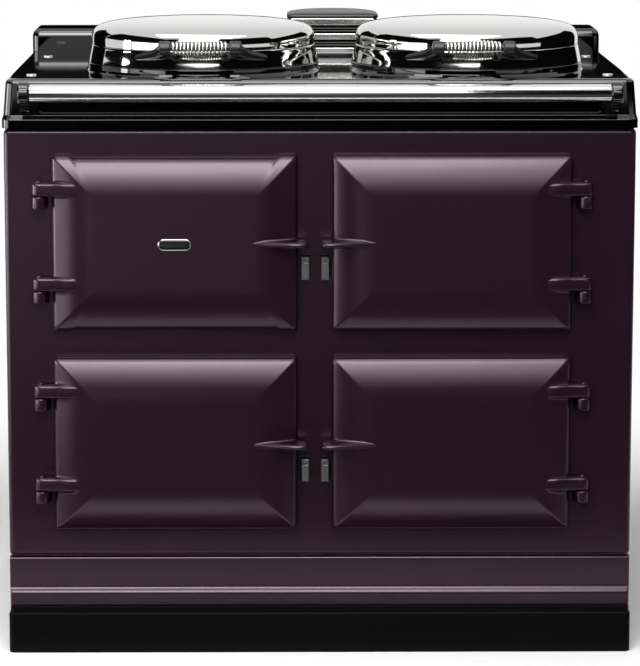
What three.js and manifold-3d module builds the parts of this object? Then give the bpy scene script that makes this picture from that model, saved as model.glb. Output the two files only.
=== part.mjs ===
// Cast iron range cooker that stores heat: three ovens and a control compartment behind four
// cast doors, and two hotplates under hinged, domed lids. Millimetres, +X right, +Y back, +Z up.
// Origin: on the floor, in the middle of the footprint. Depths are measured behind the lip,
// the foremost edge of the top plate, so a negative depth stands in front of it.
import * as THREE from "three";
import { mergeVertices, toCreasedNormals } from "three/addons/utils/BufferGeometryUtils.js";
import Module from "manifold-3d";

// ---- Driving dimensions ----
const WIDTH = 987;
const DEPTH = 698;
const HOB_HEIGHT = 913;
const REACH = 52.5; // how far the rail brackets stand in front of the lip
const GAP = 0.3; // between pieces that touch

const LIP_Y = -(DEPTH - REACH) / 2;
const HALF = WIDTH / 2;

const PLINTH = { height: 75, step: 64, stepBack: 2.4, front: 6, back: 690, wall: 40, deck: 9 };
const CASE = { half: 491.5, front: 10, faceBack: 19, rimBack: 30, bottom: 155, top: 836 };
const PANEL = { half: 490, thick: 2.5, front: 30.3, back: 689.7, fold: 12 };
const SKIRTING = { bottom: 75.3, top: 154.7, front: 15, back: 29.7, noseTop: 109, nose: 6 };
const TOP = { back: 594, lipBottom: 837, lipTop: 850, wall: 9, innerFront: 22 };
const RAIL = { radius: 13.4, bore: 11.4, half: 446, depth: -35, height: 895, noseRadius: 17.5 };
const UPSTAND = { half: 490.3, front: 594.3, top: 948 };
const COWL = { x: 26, half: 77.5, front: 445, straight: 70, height: 64 };
const LOUVRE = { half: 66, height: 14, deep: 14, lows: [927, 951] };

const DOOR_HALF_HEIGHT = 138.5;
const OPENING = { width: 340, height: 236, radius: 20, depth: 490, wall: 8 };
const DOOR_FACE = { back: 1, border: 68, roll: 9, edge: 23.5, middle: 36 };
const HINGE = { offset: 20, proud: 19, radius: 10.5, pin: 4, bore: 4.4, arm: 21, knuckle: 20 };
const HINGE_HEIGHTS = { top: 85, bottom: -63.5 }; // above a door's middle
const HORN = { length: 89, overhang: 17.5 };

const DOORS = [
  { name: "upper_left", free: -35, hinged: -416.5, z: 658.5, side: -1, ears: 4.5, plug: 15 },
  { name: "upper_right", free: 18, hinged: 392.5, z: 658.5, side: 1, ears: 0, plug: 38 },
  { name: "lower_left", free: -35, hinged: -416.5, z: 340.5, side: -1, ears: 0, plug: 38 },
  { name: "lower_right", free: 18, hinged: 392.5, z: 340.5, side: 1, ears: 0, plug: 38 },
];
const OVENS = [
  { name: "roasting_oven", shelf: "roasting_shelf", door: DOORS[1] },
  { name: "baking_oven", shelf: "baking_shelf", door: DOORS[3] },
  { name: "simmering_oven", shelf: "simmering_shelf", door: DOORS[2] },
];
const SHELF = { half: 168, front: 92, length: 400, rod: 6, bars: 11 };
const RUNNER = { reach: 8, thick: 5, pitch: 46, count: 4 };
const CONTROLS = { depth: 130, wall: 3, panelFront: 92, pitch: 92, knobRadius: 22, knobLength: 24 };

const LID = { radius: 184.5, seam: 179, bottom: 925.4, seamHeight: 953.7, top: 994.5, depth: 215 };
const LIDS = [
  { name: "left", x: COWL.x - 211.6 },
  { name: "right", x: COWL.x + 211.6 },
];
const COLLAR = { outer: 185.5, inner: 160, top: 925 };
const HOTPLATE = { radius: 157.5, top: 917, bottom: 888 };
const LID_HINGE = { depth: 422, height: 938, pin: 4, bore: 4.4, knuckle: 9, half: 15 };
const GRIP = { depth: 4, height: 961, lugInner: 45.5, lugOuter: 64, lugRadius: 11, rod: 4.5 };
const COIL = { turns: 14, wire: 3.4, middle: 11, ends: 7.9, steps: 8, sides: 5 };

// ---- Materials ----
function finish(colour, roughness, metalness) {
  return new THREE.MeshStandardMaterial({ color: colour, roughness, metalness });
}
const AUBERGINE_ENAMEL = finish("#3a2830", 0.18, 0);
const BLACK_ENAMEL = finish("#0c0c0d", 0.1, 0);
const BLACK_SATIN = finish("#151515", 0.45, 0);
const POLISHED_STEEL = finish("#d8d9d8", 0.06, 1);
const SATIN_STEEL = finish("#9a9c9c", 0.35, 1);
const CAST_IRON = finish("#3b3b3d", 0.7, 0.6);
const ALUMINIUM = finish("#b9bbbd", 0.45, 1);
const MINERAL_WOOL = finish("#c7bfa6", 0.95, 0);

// ---- Solid modelling helpers ----
const wasm = await Module();
wasm.setup();

function behindLip(depth) {
  return LIP_Y + depth;
}

function signedVolume(position, index) {
  const [a, b, c] = [new THREE.Vector3(), new THREE.Vector3(), new THREE.Vector3()];
  let total = 0;
  for (let i = 0; i < index.length; i += 3) {
    a.fromArray(position, 3 * index[i]);
    b.fromArray(position, 3 * index[i + 1]);
    c.fromArray(position, 3 * index[i + 2]);
    total += a.dot(b.cross(c));
  }
  return total;
}

// A closed geometry as a solid with its faces pointing out and its shared vertices merged.
function solid(geometry) {
  const bare = geometry.clone();
  bare.deleteAttribute("normal");
  bare.deleteAttribute("uv");
  const merged = mergeVertices(bare, 1e-3);
  const position = merged.attributes.position.array;
  const source = merged.index.array;
  const index = [];
  for (let i = 0; i < source.length; i += 3) {
    const [p, q, r] = [source[i], source[i + 1], source[i + 2]];
    if (p !== q && q !== r && p !== r) index.push(p, q, r);
  }
  if (signedVolume(position, index) < 0) index.reverse();
  const mesh = new wasm.Mesh({
    numProp: 3,
    vertProperties: position,
    triVerts: new Uint32Array(index),
  });
  return new wasm.Manifold(mesh);
}

function join(...pieces) {
  return pieces.reduce((whole, piece) => whole.add(piece));
}

function cut(body, ...tools) {
  return tools.reduce((rest, tool) => rest.subtract(tool), body);
}

function geometryOf(body) {
  const mesh = body.getMesh();
  const positions = new Float32Array(mesh.numVert * 3);
  for (let i = 0; i < mesh.numVert; i++) {
    const start = i * mesh.numProp;
    positions.set(mesh.vertProperties.subarray(start, start + 3), 3 * i);
  }
  const geometry = new THREE.BufferGeometry();
  geometry.setAttribute("position", new THREE.BufferAttribute(positions, 3));
  geometry.setIndex(new THREE.BufferAttribute(mesh.triVerts, 1));
  return toCreasedNormals(geometry, Math.PI / 6);
}

// A box between two corners.
function block([x0, y0, z0], [x1, y1, z1]) {
  const box = new THREE.BoxGeometry(x1 - x0, y1 - y0, z1 - z0);
  box.translate((x0 + x1) / 2, (y0 + y1) / 2, (z0 + z1) / 2);
  return solid(box);
}

// A solid of revolution about a vertical axis through (x, y); the profile holds [radius, height].
function revolved(profile, x, y, segments = 36) {
  const points = profile.map(([radius, height]) => new THREE.Vector2(radius, height));
  const lathe = new THREE.LatheGeometry(points, segments);
  lathe.rotateX(Math.PI / 2);
  lathe.translate(x, y, 0);
  return solid(lathe);
}

const TO_X = new THREE.Matrix4().makeBasis(
  new THREE.Vector3(0, 1, 0),
  new THREE.Vector3(0, 0, 1),
  new THREE.Vector3(1, 0, 0),
);
const TO_FRONT = new THREE.Matrix4().makeBasis(
  new THREE.Vector3(1, 0, 0),
  new THREE.Vector3(0, 0, 1),
  new THREE.Vector3(0, -1, 0),
);

function extruded(shape, depth, options = {}) {
  return new THREE.ExtrudeGeometry(shape, {
    depth,
    bevelEnabled: false,
    curveSegments: 6,
    ...options,
  });
}

// A shape drawn in Y and Z, extruded from x0 to x1.
function alongX(shape, x0, x1, options) {
  const geometry = extruded(shape, x1 - x0, options);
  geometry.applyMatrix4(TO_X);
  geometry.translate(x0, 0, 0);
  return solid(geometry);
}

// A shape drawn in X and Z, extruded from the depth y1 forward to y0.
function alongY(shape, y0, y1, options) {
  const geometry = extruded(shape, y1 - y0, options);
  geometry.applyMatrix4(TO_FRONT);
  geometry.translate(0, y1, 0);
  return solid(geometry);
}

// A shape drawn in X and Y, extruded from z0 up to z1.
function upright(shape, z0, z1, options) {
  const geometry = extruded(shape, z1 - z0, options);
  geometry.translate(0, 0, z0);
  return solid(geometry);
}

function outline(points) {
  return new THREE.Shape(points.map(([u, v]) => new THREE.Vector2(u, v)));
}

function discShape(u, v, radius) {
  return new THREE.Shape().absarc(u, v, radius, 0, 2 * Math.PI, false);
}

// Corner points of a rectangle whose corners are arcs, anticlockwise from the lower left.
function roundedCorners(u0, v0, u1, v1, radii, steps = 3) {
  const [lowerLeft, lowerRight, upperRight, upperLeft] = radii;
  const corners = [
    [u0 + lowerLeft, v0 + lowerLeft, lowerLeft, Math.PI],
    [u1 - lowerRight, v0 + lowerRight, lowerRight, 1.5 * Math.PI],
    [u1 - upperRight, v1 - upperRight, upperRight, 0],
    [u0 + upperLeft, v1 - upperLeft, upperLeft, 0.5 * Math.PI],
  ];
  return corners.flatMap(([u, v, radius, start]) =>
    Array.from({ length: steps + 1 }, (_, i) => {
      const angle = start + (0.5 * Math.PI * i) / steps;
      return [u + radius * Math.cos(angle), v + radius * Math.sin(angle)];
    }),
  );
}

function roundedRectangle(u0, v0, u1, v1, radius, steps = 3) {
  return outline(roundedCorners(u0, v0, u1, v1, [radius, radius, radius, radius], steps));
}

// A solid through rings of equal length, closed at each end by a fan about the ring's middle.
function loft(rings) {
  const count = rings[0].length;
  const middle = (ring) => new THREE.Box3().setFromPoints(ring).getCenter(new THREE.Vector3());
  const points = [...rings.flat(), middle(rings[0]), middle(rings.at(-1))];
  const last = (rings.length - 1) * count;
  const [firstHub, lastHub] = [last + count, last + count + 1];
  const index = [];
  for (let i = 0; i < count; i++) {
    const next = (i + 1) % count;
    index.push(firstHub, next, i, lastHub, last + i, last + next);
    for (let start = 0; start < last; start += count) {
      const [a, b] = [start + i, start + next];
      index.push(a, b, b + count, a, b + count, a + count);
    }
  }
  const geometry = new THREE.BufferGeometry().setFromPoints(points);
  geometry.setIndex(index);
  return solid(geometry);
}

// A flat ring at height z from points in X and Y.
function levelRing(points, z) {
  return points.map(([x, y]) => new THREE.Vector3(x, y, z));
}

// A flat ring facing forward, at depth y, from points in X and Z.
function facingRing(points, y) {
  return points.map(([x, z]) => new THREE.Vector3(x, y, z));
}

const cookerGroup = new THREE.Group();

function addMesh(group, name, body, material) {
  const mesh = new THREE.Mesh(geometryOf(body), material);
  mesh.name = name;
  group.add(mesh);
}

// ---- Casing ----
function plinth() {
  const footprint = (inset) => {
    const half = HALF - inset;
    const front = behindLip(PLINTH.front + inset);
    const back = behindLip(PLINTH.back);
    return roundedCorners(-half, front, half, back, [8, 8, 2, 2]);
  };
  const levels = [
    [0, 0],
    [PLINTH.step - 2, 0],
    [PLINTH.step + 1, PLINTH.stepBack],
    [PLINTH.height, PLINTH.stepBack],
  ];
  const shell = loft(levels.map(([z, inset]) => levelRing(footprint(inset), z)));
  const half = HALF - PLINTH.wall;
  const front = behindLip(PLINTH.front + PLINTH.wall);
  const back = behindLip(PLINTH.back - PLINTH.wall);
  return cut(shell, block([-half, front, -1], [half, back, PLINTH.height - PLINTH.deck]));
}

// A strip that steps forward to a rounded nose, its ends rounded back like the front plate's.
function skirting() {
  const { bottom, top, front, back, noseTop, nose } = SKIRTING;
  const face = behindLip(front);
  const rear = behindLip(back);
  const profile = new THREE.Shape();
  profile.moveTo(rear, bottom);
  profile.lineTo(rear, top);
  profile.lineTo(face + 5, top);
  profile.quadraticCurveTo(face, top, face, top - 5);
  profile.lineTo(face, noseTop);
  profile.quadraticCurveTo(face, noseTop - 4, face - nose * 0.4, noseTop - 6);
  profile.quadraticCurveTo(face - nose, noseTop - 9, face - nose, noseTop - 16);
  profile.lineTo(face - nose, bottom + 3);
  profile.quadraticCurveTo(face - nose, bottom, face - nose + 3, bottom);
  const strip = alongX(profile, -CASE.half, CASE.half, { curveSegments: 3 });
  const corner = [11, 11, 0.5, 0.5];
  const foremost = face - nose - 3;
  const plan = roundedCorners(-CASE.half, foremost, CASE.half, rear + 10, corner);
  return strip.intersect(upright(outline(plan), bottom - 1, top + 1));
}

function openingShape(door, inset) {
  const middle = doorMiddle(door);
  const halfWidth = OPENING.width / 2 - inset;
  const halfHeight = OPENING.height / 2 - inset;
  const [left, right] = [middle - halfWidth, middle + halfWidth];
  const [low, high] = [door.z - halfHeight, door.z + halfHeight];
  return roundedRectangle(left, low, right, high, OPENING.radius - inset);
}

function doorMiddle(door) {
  return (door.free + door.hinged) / 2;
}

// A shallow cast tray with a rolled edge, open side to the back, pierced by four oven mouths.
function frontPlate() {
  const ring = (inset, depth) => {
    const half = CASE.half - inset;
    const [low, high] = [CASE.bottom + inset, CASE.top - inset];
    return facingRing(roundedCorners(-half, low, half, high, [9, 9, 9, 9]), behindLip(depth));
  };
  const roll = 8;
  const rolled = Array.from({ length: 4 }, (_, i) => {
    const angle = (0.5 * Math.PI * i) / 3;
    return ring(roll * (1 - Math.cos(angle)), CASE.front + roll * (1 - Math.sin(angle)));
  });
  const tray = loft([ring(0, CASE.rimBack), ...rolled]);
  const rim = CASE.half - 9;
  const pocketLow = [-rim, behindLip(CASE.faceBack), CASE.bottom + 9];
  const pocket = block(pocketLow, [rim, behindLip(CASE.rimBack + 1), CASE.top - 9]);
  const mouths = DOORS.map((door) =>
    alongY(openingShape(door, 0), behindLip(CASE.front - 5), behindLip(CASE.rimBack)),
  );
  const slots = CATCHES.flatMap((pair) =>
    TABS.map((x) => {
      const half = { x: TAB.half + 1.4, z: TAB.height / 2 + 1.4 };
      const low = [x - half.x, behindLip(CASE.front - 5), pair.z - half.z];
      return block(low, [x + half.x, behindLip(CASE.rimBack), pair.z + half.z]);
    }),
  );
  return cut(tray, pocket, ...mouths, ...slots);
}

// A flat sheet folded inwards along its front and back edges.
function sidePanel(side) {
  const { half, thick, front, back, fold } = PANEL;
  const [y0, y1] = [behindLip(front), behindLip(back)];
  const inner = half - thick;
  const corner = half - fold;
  const channel = [
    [half, y0],
    [half, y1],
    [corner, y1],
    [corner, y1 - thick],
    [inner, y1 - thick],
    [inner, y0 + thick],
    [corner, y0 + thick],
    [corner, y0],
  ];
  const section = outline(channel.map(([x, y]) => [side * x, y]));
  return upright(section, PLINTH.height + GAP, CASE.top);
}

const GLAND = { x: 380, z: 130, hole: 16, outer: 15.4, flange: 21, bore: 8 };

function backPanel() {
  const half = PANEL.half - 2;
  const sheet = roundedRectangle(-half, PLINTH.height + GAP, half, CASE.top, 4);
  const hole = discShape(GLAND.x, GLAND.z, GLAND.hole);
  const y0 = behindLip(PANEL.back + GAP);
  const y1 = y0 + PANEL.thick;
  return cut(alongY(sheet, y0, y1), alongY(hole, y0 - 1, y1 + 1));
}

function cableGland() {
  const nose = discShape(GLAND.x, GLAND.z, GLAND.outer);
  const flange = discShape(GLAND.x, GLAND.z, GLAND.flange);
  const bore = discShape(GLAND.x, GLAND.z, GLAND.bore);
  const [y0, y1] = [behindLip(687.2), behindLip(692.8)];
  const body = join(alongY(nose, y0, y1 + 1), alongY(flange, y1, behindLip(697.5)));
  return cut(body, alongY(bore, y0 - 1, behindLip(699)));
}

// ---- Top ----
// The outline of the top plate at a height: half width, depth of its front edge, corner radius.
const TOP_LEVELS = [
  { z: TOP.lipBottom, half: HALF, front: 0 },
  { z: TOP.lipTop, half: HALF, front: 0 },
  { z: TOP.lipTop + 4, half: HALF - 1, front: 1.6 },
  { z: TOP.lipTop + 6, half: HALF - 2, front: 3.4 },
  { z: HOB_HEIGHT - 9, half: HALF - 6, front: 6.4 },
  { z: HOB_HEIGHT - 4.5, half: HALF - 7.2, front: 8 },
  { z: HOB_HEIGHT - 1.3, half: HALF - 9.5, front: 10.6 },
  { z: HOB_HEIGHT, half: HALF - 13, front: 14.5 },
];

// The shallow recess in the front of the top plate, behind the rail.
const RECESS = { half: 436, low: 860, high: 897, floor: 14 };

function topPlate() {
  const back = behindLip(TOP.back);
  const casting = loft(
    TOP_LEVELS.map(({ z, half, front }) => {
      const corners = roundedCorners(-half, behindLip(front), half, back, [14, 14, 1, 1], 4);
      return levelRing(corners, z);
    }),
  );
  const innerHalf = HALF - 7 - TOP.wall;
  const innerLow = [-innerHalf, behindLip(TOP.innerFront), TOP.lipBottom - 1];
  const inside = block(innerLow, [innerHalf, back - TOP.wall, HOB_HEIGHT - TOP.wall]);
  const { half: recessHalf, low, high, floor } = RECESS;
  const recessShape = roundedRectangle(-recessHalf, low, recessHalf, high, 6);
  const recess = alongY(recessShape, behindLip(-10), behindLip(floor));
  const y = behindLip(LID.depth);
  const collarProfile = [
    [COLLAR.inner - 4, HOB_HEIGHT - 2],
    [COLLAR.outer + 2.5, HOB_HEIGHT - 2],
    [COLLAR.outer, HOB_HEIGHT + 4],
    [COLLAR.outer, COLLAR.top - 2],
    [COLLAR.outer - 2, COLLAR.top],
    [COLLAR.inner - 4, COLLAR.top],
    [COLLAR.inner - 4, HOB_HEIGHT - 2],
  ];
  const collars = LIDS.map((lid) => revolved(collarProfile, lid.x, y));
  const holes = LIDS.map((lid) =>
    upright(discShape(lid.x, y, COLLAR.inner), HOB_HEIGHT - 15, COLLAR.top + 1, {
      curveSegments: 18,
    }),
  );
  return cut(join(cut(casting, inside, recess), ...collars), ...holes);
}

function upstand() {
  const levels = [
    [TOP.lipBottom, 0],
    [UPSTAND.top - 12, 0],
    [UPSTAND.top - 7, 1.2],
    [UPSTAND.top - 2.5, 4.2],
    [UPSTAND.top, 9],
  ];
  return loft(
    levels.map(([z, inset]) => {
      const half = UPSTAND.half - inset;
      const front = behindLip(UPSTAND.front + inset);
      const corners = roundedCorners(-half, front, half, behindLip(DEPTH), [12, 12, 2, 2]);
      return levelRing(corners, z);
    }),
  );
}

// Plan of the cowl: flat front with small corners, straight sides and a round back.
function cowlPlan(inset) {
  const half = COWL.half - inset;
  const front = behindLip(COWL.front + inset);
  const waist = behindLip(COWL.front + COWL.straight);
  const corners = roundedCorners(-half, front, half, waist, [9, 9, 0.1, 0.1]).slice(0, 8);
  const round = Array.from({ length: 11 }, (_, i) => {
    const angle = (Math.PI * i) / 10;
    return [half * Math.cos(angle), waist + half * Math.sin(angle)];
  });
  return [...corners, ...round].map(([x, y]) => [x + COWL.x, y]);
}

function ventCowl() {
  const top = HOB_HEIGHT + COWL.height;
  const levels = [
    [HOB_HEIGHT + GAP, -1.2],
    [HOB_HEIGHT + 5, -1.2],
    [HOB_HEIGHT + 9, 1],
    [HOB_HEIGHT + 12, 1.5],
    [top - 4, 1.5],
    [top, 4],
  ];
  const housing = loft(levels.map(([z, inset]) => levelRing(cowlPlan(inset), z)));
  const front = behindLip(COWL.front);
  const [left, right] = [COWL.x - LOUVRE.half, COWL.x + LOUVRE.half];
  const louvres = LOUVRE.lows.map((low) => {
    const slot = roundedRectangle(left, low, right, low + LOUVRE.height, 4, 2);
    return alongY(slot, front - 5, front + LOUVRE.deep);
  });
  return cut(housing, ...louvres);
}

function ventCap() {
  const base = HOB_HEIGHT + COWL.height + GAP;
  const levels = [
    [base, 1.5],
    [base + 2, 1],
    [base + 5, 4],
    [base + 8.5, 30],
    [base + 9.2, 50],
  ];
  return loft(levels.map(([z, inset]) => levelRing(cowlPlan(inset), z)));
}

// ---- Handrail ----
function handrail() {
  const ring = [
    [RAIL.bore, -RAIL.half],
    [RAIL.radius, -RAIL.half],
    [RAIL.radius, RAIL.half],
    [RAIL.bore, RAIL.half],
    [RAIL.bore, -RAIL.half],
  ];
  const points = ring.map(([radius, x]) => new THREE.Vector2(radius, x));
  const tube = new THREE.LatheGeometry(points, 24);
  tube.rotateZ(Math.PI / 2);
  tube.translate(0, behindLip(RAIL.depth), RAIL.height);
  return solid(tube);
}

// A round nose that caps the tube, and an arm that spreads into a foot on the sloping apron.
function railBracket(side) {
  const nose = { y: behindLip(RAIL.depth), z: RAIL.height, radius: RAIL.noseRadius };
  const apron = (z) => {
    const [low, high] = [TOP_LEVELS[3], TOP_LEVELS[4]];
    const share = (z - low.z) / (high.z - low.z);
    return behindLip(low.front + share * (high.front - low.front)) - GAP;
  };
  const profile = new THREE.Shape();
  profile.absarc(nose.y, nose.z, nose.radius, 0.4 * Math.PI, 1.62 * Math.PI, false);
  profile.bezierCurveTo(nose.y + 16, nose.z - 18, apron(862) - 9, 872, apron(857.5), 857.5);
  profile.lineTo(apron(903.5), 903.5);
  profile.bezierCurveTo(apron(903) - 8, 903, nose.y + 16, nose.z + 12, nose.y + 12, nose.z + 13);
  const bevel = { bevelEnabled: true, bevelSize: 2, bevelOffset: -2, bevelThickness: 2 };
  const options = { ...bevel, bevelSegments: 1, curveSegments: 5 };
  const inner = RAIL.half + GAP + 2;
  const [x0, x1] = side > 0 ? [inner, inner + 14] : [-inner - 14, -inner];
  return alongX(profile, x0, x1, options);
}

// ---- Ovens, compartment and what is inside ----
function boxWithMouth(door, depth, wall) {
  const front = behindLip(CASE.faceBack + GAP);
  const outer = alongY(openingShape(door, -wall), front, front + depth + wall);
  const inner = alongY(openingShape(door, 0), front - 5, front + depth);
  return cut(outer, inner);
}

function runnerHeight(door, index) {
  return door.z + (index - (RUNNER.count - 1) / 2) * RUNNER.pitch;
}

// A cast box open to the front, with shelf runners along both side walls.
function oven(door) {
  const body = boxWithMouth(door, OPENING.depth, OPENING.wall);
  const middle = doorMiddle(door);
  const wall = OPENING.width / 2;
  const [y0, y1] = [behindLip(60), behindLip(CASE.faceBack + OPENING.depth)];
  const runners = [-1, 1].flatMap((side) =>
    Array.from({ length: RUNNER.count }, (_, i) => {
      const z = runnerHeight(door, i);
      const [inner, outer] = [side * (wall - RUNNER.reach), side * (wall + 1)];
      const low = [middle + Math.min(inner, outer), y0, z - RUNNER.thick];
      return block(low, [middle + Math.max(inner, outer), y1, z]);
    }),
  );
  return join(body, ...runners);
}

// A rectangular wire frame with bars from front to back, lying on the second pair of runners.
function shelf(door) {
  const middle = doorMiddle(door);
  const z = runnerHeight(door, 1) + GAP;
  const [y0, y1] = [behindLip(SHELF.front), behindLip(SHELF.front + SHELF.length)];
  const [x0, x1] = [middle - SHELF.half, middle + SHELF.half];
  const frame = roundedRectangle(x0, y0, x1, y1, 14);
  const inside = roundedRectangle(x0 + SHELF.rod, y0 + SHELF.rod, x1 - SHELF.rod, y1 - SHELF.rod, 8);
  frame.holes.push(new THREE.Path(inside.getPoints()));
  const rim = upright(frame, z, z + SHELF.rod);
  const pitch = (2 * SHELF.half - SHELF.rod) / (SHELF.bars + 1);
  const bars = Array.from({ length: SHELF.bars }, (_, i) => {
    const x = x0 + SHELF.rod / 2 + (i + 1) * pitch;
    return alongY(discShape(x, z + SHELF.rod / 2, 2.2), y0 + 3, y1 - 3, { curveSegments: 2 });
  });
  return join(rim, ...bars);
}

function knobCentre(index) {
  return { x: doorMiddle(DOORS[0]) + (index - 1) * CONTROLS.pitch, z: DOORS[0].z };
}

function controlPanel() {
  const plate = alongY(
    openingShape(DOORS[0], 2),
    behindLip(CONTROLS.panelFront),
    behindLip(CONTROLS.panelFront + 3),
  );
  const holes = [0, 1, 2].map((index) => {
    const { x, z } = knobCentre(index);
    const [y0, y1] = [behindLip(CONTROLS.panelFront - 1), behindLip(CONTROLS.panelFront + 4)];
    return alongY(discShape(x, z, 4), y0, y1, { curveSegments: 4 });
  });
  return cut(plate, ...holes);
}

// A round control with a raised grip bar and a shaft through the panel.
function knob(index) {
  const { x, z } = knobCentre(index);
  const rear = behindLip(CONTROLS.panelFront - 1);
  const front = rear - CONTROLS.knobLength;
  const round = { curveSegments: 5 };
  const skirt = alongY(discShape(x, z, CONTROLS.knobRadius), rear - 6, rear, round);
  const body = alongY(discShape(x, z, CONTROLS.knobRadius - 4), rear - 12, rear - 5, round);
  const grip = block([x - 4, front, z - 15], [x + 4, rear - 11, z + 15]);
  const shaft = alongY(discShape(x, z, 3), rear - 1, rear + 14, { curveSegments: 4 });
  return join(skirt, body, grip, shaft);
}

// A machined disc with a recessed channel underneath for its element.
function hotplate(lid) {
  const { radius, top, bottom } = HOTPLATE;
  const profile = [
    [0, bottom],
    [84, bottom],
    [84, bottom + 12],
    [112, bottom + 12],
    [112, bottom],
    [radius, bottom],
    [radius, top - 3],
    [radius - 3, top],
    [0, top],
  ];
  return revolved(profile, lid.x, behindLip(LID.depth), 32);
}

// A sheathed heating rod bent to a ring, both ends turned down beside each other.
function element(lid) {
  const y = behindLip(LID.depth);
  const z = HOTPLATE.bottom + 5;
  const ring = 98;
  const bend = Array.from({ length: 19 }, (_, i) => {
    const angle = THREE.MathUtils.degToRad(-78 + (336 * i) / 18);
    return new THREE.Vector3(lid.x + ring * Math.cos(angle), y + ring * Math.sin(angle), z);
  });
  const down = (point) => point.clone().setZ(z - 26);
  const path = new THREE.CatmullRomCurve3([down(bend[0]), ...bend, down(bend.at(-1))]);
  const rod = extruded(discShape(0, 0, 4), 1, { extrudePath: path, steps: 28, curveSegments: 3 });
  return solid(rod);
}

// The pack that fills the casing around the ovens, the compartment and the hotplates.
function insulation() {
  const [front, back] = [behindLip(33.2), behindLip(686.8)];
  const lower = block([-486.5, front, PLINTH.height + 2], [486.5, back, CASE.top]);
  const upper = block([-474, front, CASE.top - 1], [474, behindLip(584), 903.5]);
  const pockets = DOORS.map((door) => {
    const isControl = door === DOORS[0];
    const depth = isControl ? CONTROLS.depth : OPENING.depth;
    const wall = isControl ? CONTROLS.wall : OPENING.wall;
    const end = behindLip(CASE.faceBack + depth + wall + 1);
    return alongY(openingShape(door, -wall - 0.5), behindLip(20), end);
  });
  const wells = LIDS.map((lid) =>
    upright(discShape(lid.x, behindLip(LID.depth), 159), 855, 910, { curveSegments: 18 }),
  );
  return cut(join(lower, upper), ...pockets, ...wells);
}

// ---- Catches ----
const CATCHES = [
  { name: "catch_upper", z: 618 },
  { name: "catch_lower", z: 297 },
];
const TABS = [-23, 8];
const TAB = { half: 5.6, height: 35, front: -4 };

// One strip behind the front plate carries the two tabs that stand out between the doors.
function catchStrip(pair) {
  const [left, right] = [TABS[0] - 11, TABS[1] + 11];
  const half = TAB.height / 2;
  const behind = behindLip(CASE.faceBack + GAP);
  const strip = block([left, behind, pair.z - half], [right, behind + 3, pair.z + half]);
  const tabs = TABS.map((x) => {
    const low = [x - TAB.half, behindLip(TAB.front), pair.z - half];
    return block(low, [x + TAB.half, behind + 1, pair.z + half]);
  });
  const notches = TABS.map((x) => {
    const low = [x - TAB.half + 2, behindLip(TAB.front) - 1, pair.z + half - 9];
    return block(low, [x + TAB.half - 2, behindLip(TAB.front) + 5, pair.z + half - 5]);
  });
  return cut(join(strip, ...tabs), ...notches);
}

// ---- Doors ----
function hingeAxis(door) {
  return { x: door.hinged + door.side * HINGE.offset, y: behindLip(CASE.front - HINGE.proud) };
}

// Where the ears of a door's outline end, and how far the dip between them moves in with the inset.
const EAR_SHOULDERS = [26, 36];
const EAR_SPREAD = 0.75;

// The outline of a door at an inset; with ears, its long edges dip between the corners.
function doorOutline(door, inset) {
  const [left, right] = [Math.min(door.free, door.hinged), Math.max(door.free, door.hinged)];
  const radius = Math.max(8 - inset, 0.6);
  const radii = [radius, radius, radius, radius];
  const [low, high] = [door.z - DOOR_HALF_HEIGHT + inset, door.z + DOOR_HALF_HEIGHT - inset];
  const corners = roundedCorners(left + inset, low, right - inset, high, radii, 2);
  if (door.ears === 0) return corners;
  const dip = door.ears * (1 - inset / DOOR_FACE.border);
  const shoulders = EAR_SHOULDERS.map((from) => from + inset * EAR_SPREAD);
  const bottomDip = shoulders.map((from, i) => [left + from, low + i * 0.6 * dip]);
  const topDip = shoulders.map((from, i) => [right - from, high - i * dip]);
  const mirrored = (points) => points.map(([x, z]) => [left + right - x, z]).reverse();
  return [
    ...corners.slice(0, 3),
    ...bottomDip,
    ...mirrored(bottomDip),
    ...corners.slice(3, 9),
    ...topDip,
    ...mirrored(topDip),
    ...corners.slice(9),
  ];
}

// How far the door's face stands in front of the front plate, at an inset from its edge.
function doorProud(inset) {
  const { border, roll, edge, middle } = DOOR_FACE;
  const share = (border - inset) / (border - roll);
  return edge + (middle - edge) * (1 - share * share);
}

function doorBody(door) {
  const { back, border, roll, edge } = DOOR_FACE;
  const rounded = [0, 1, 2].map((i) => {
    const angle = (0.4 * Math.PI * i) / 2;
    return [roll * (1 - Math.cos(angle)) * 1.1, edge - 10 + 9.8 * Math.sin(angle)];
  });
  const slope = [roll, 21, 36, 52, border].map((inset) => [inset, doorProud(inset)]);
  const levels = [[0.8, back], [0, 3], ...rounded, ...slope];
  return loft(
    levels.map(([inset, proud]) =>
      facingRing(doorOutline(door, inset), behindLip(CASE.front - proud)),
    ),
  );
}

// A flat arm cast on the door's border, rounded about the pin that it turns on.
function hingeArm(door, z) {
  const axis = hingeAxis(door);
  const toDoor = -door.side;
  const radius = HINGE.radius - 1.5;
  const reach = axis.x + toDoor * 64;
  const front = behindLip(CASE.front - 34.5);
  const rear = axis.y + radius;
  const plan = new THREE.Shape();
  const start = Math.PI / 2;
  const end = toDoor > 0 ? 1.5 * Math.PI : -0.5 * Math.PI;
  plan.moveTo(reach - toDoor * 20, rear);
  plan.absarc(axis.x, axis.y, radius, start, end, toDoor < 0);
  plan.lineTo(axis.x + toDoor * 26, axis.y - radius - 1.5);
  plan.lineTo(reach - toDoor * 6, front + 1.5);
  plan.lineTo(reach, front + 5);
  const bevel = { bevelEnabled: true, bevelSize: 1.5, bevelThickness: 1.5, bevelSegments: 1 };
  const [low, high] = [z - HINGE.arm / 2 + 1.5, z + HINGE.arm / 2 - 1.5];
  return upright(plan, low, high, { ...bevel, curveSegments: 6 });
}

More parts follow.
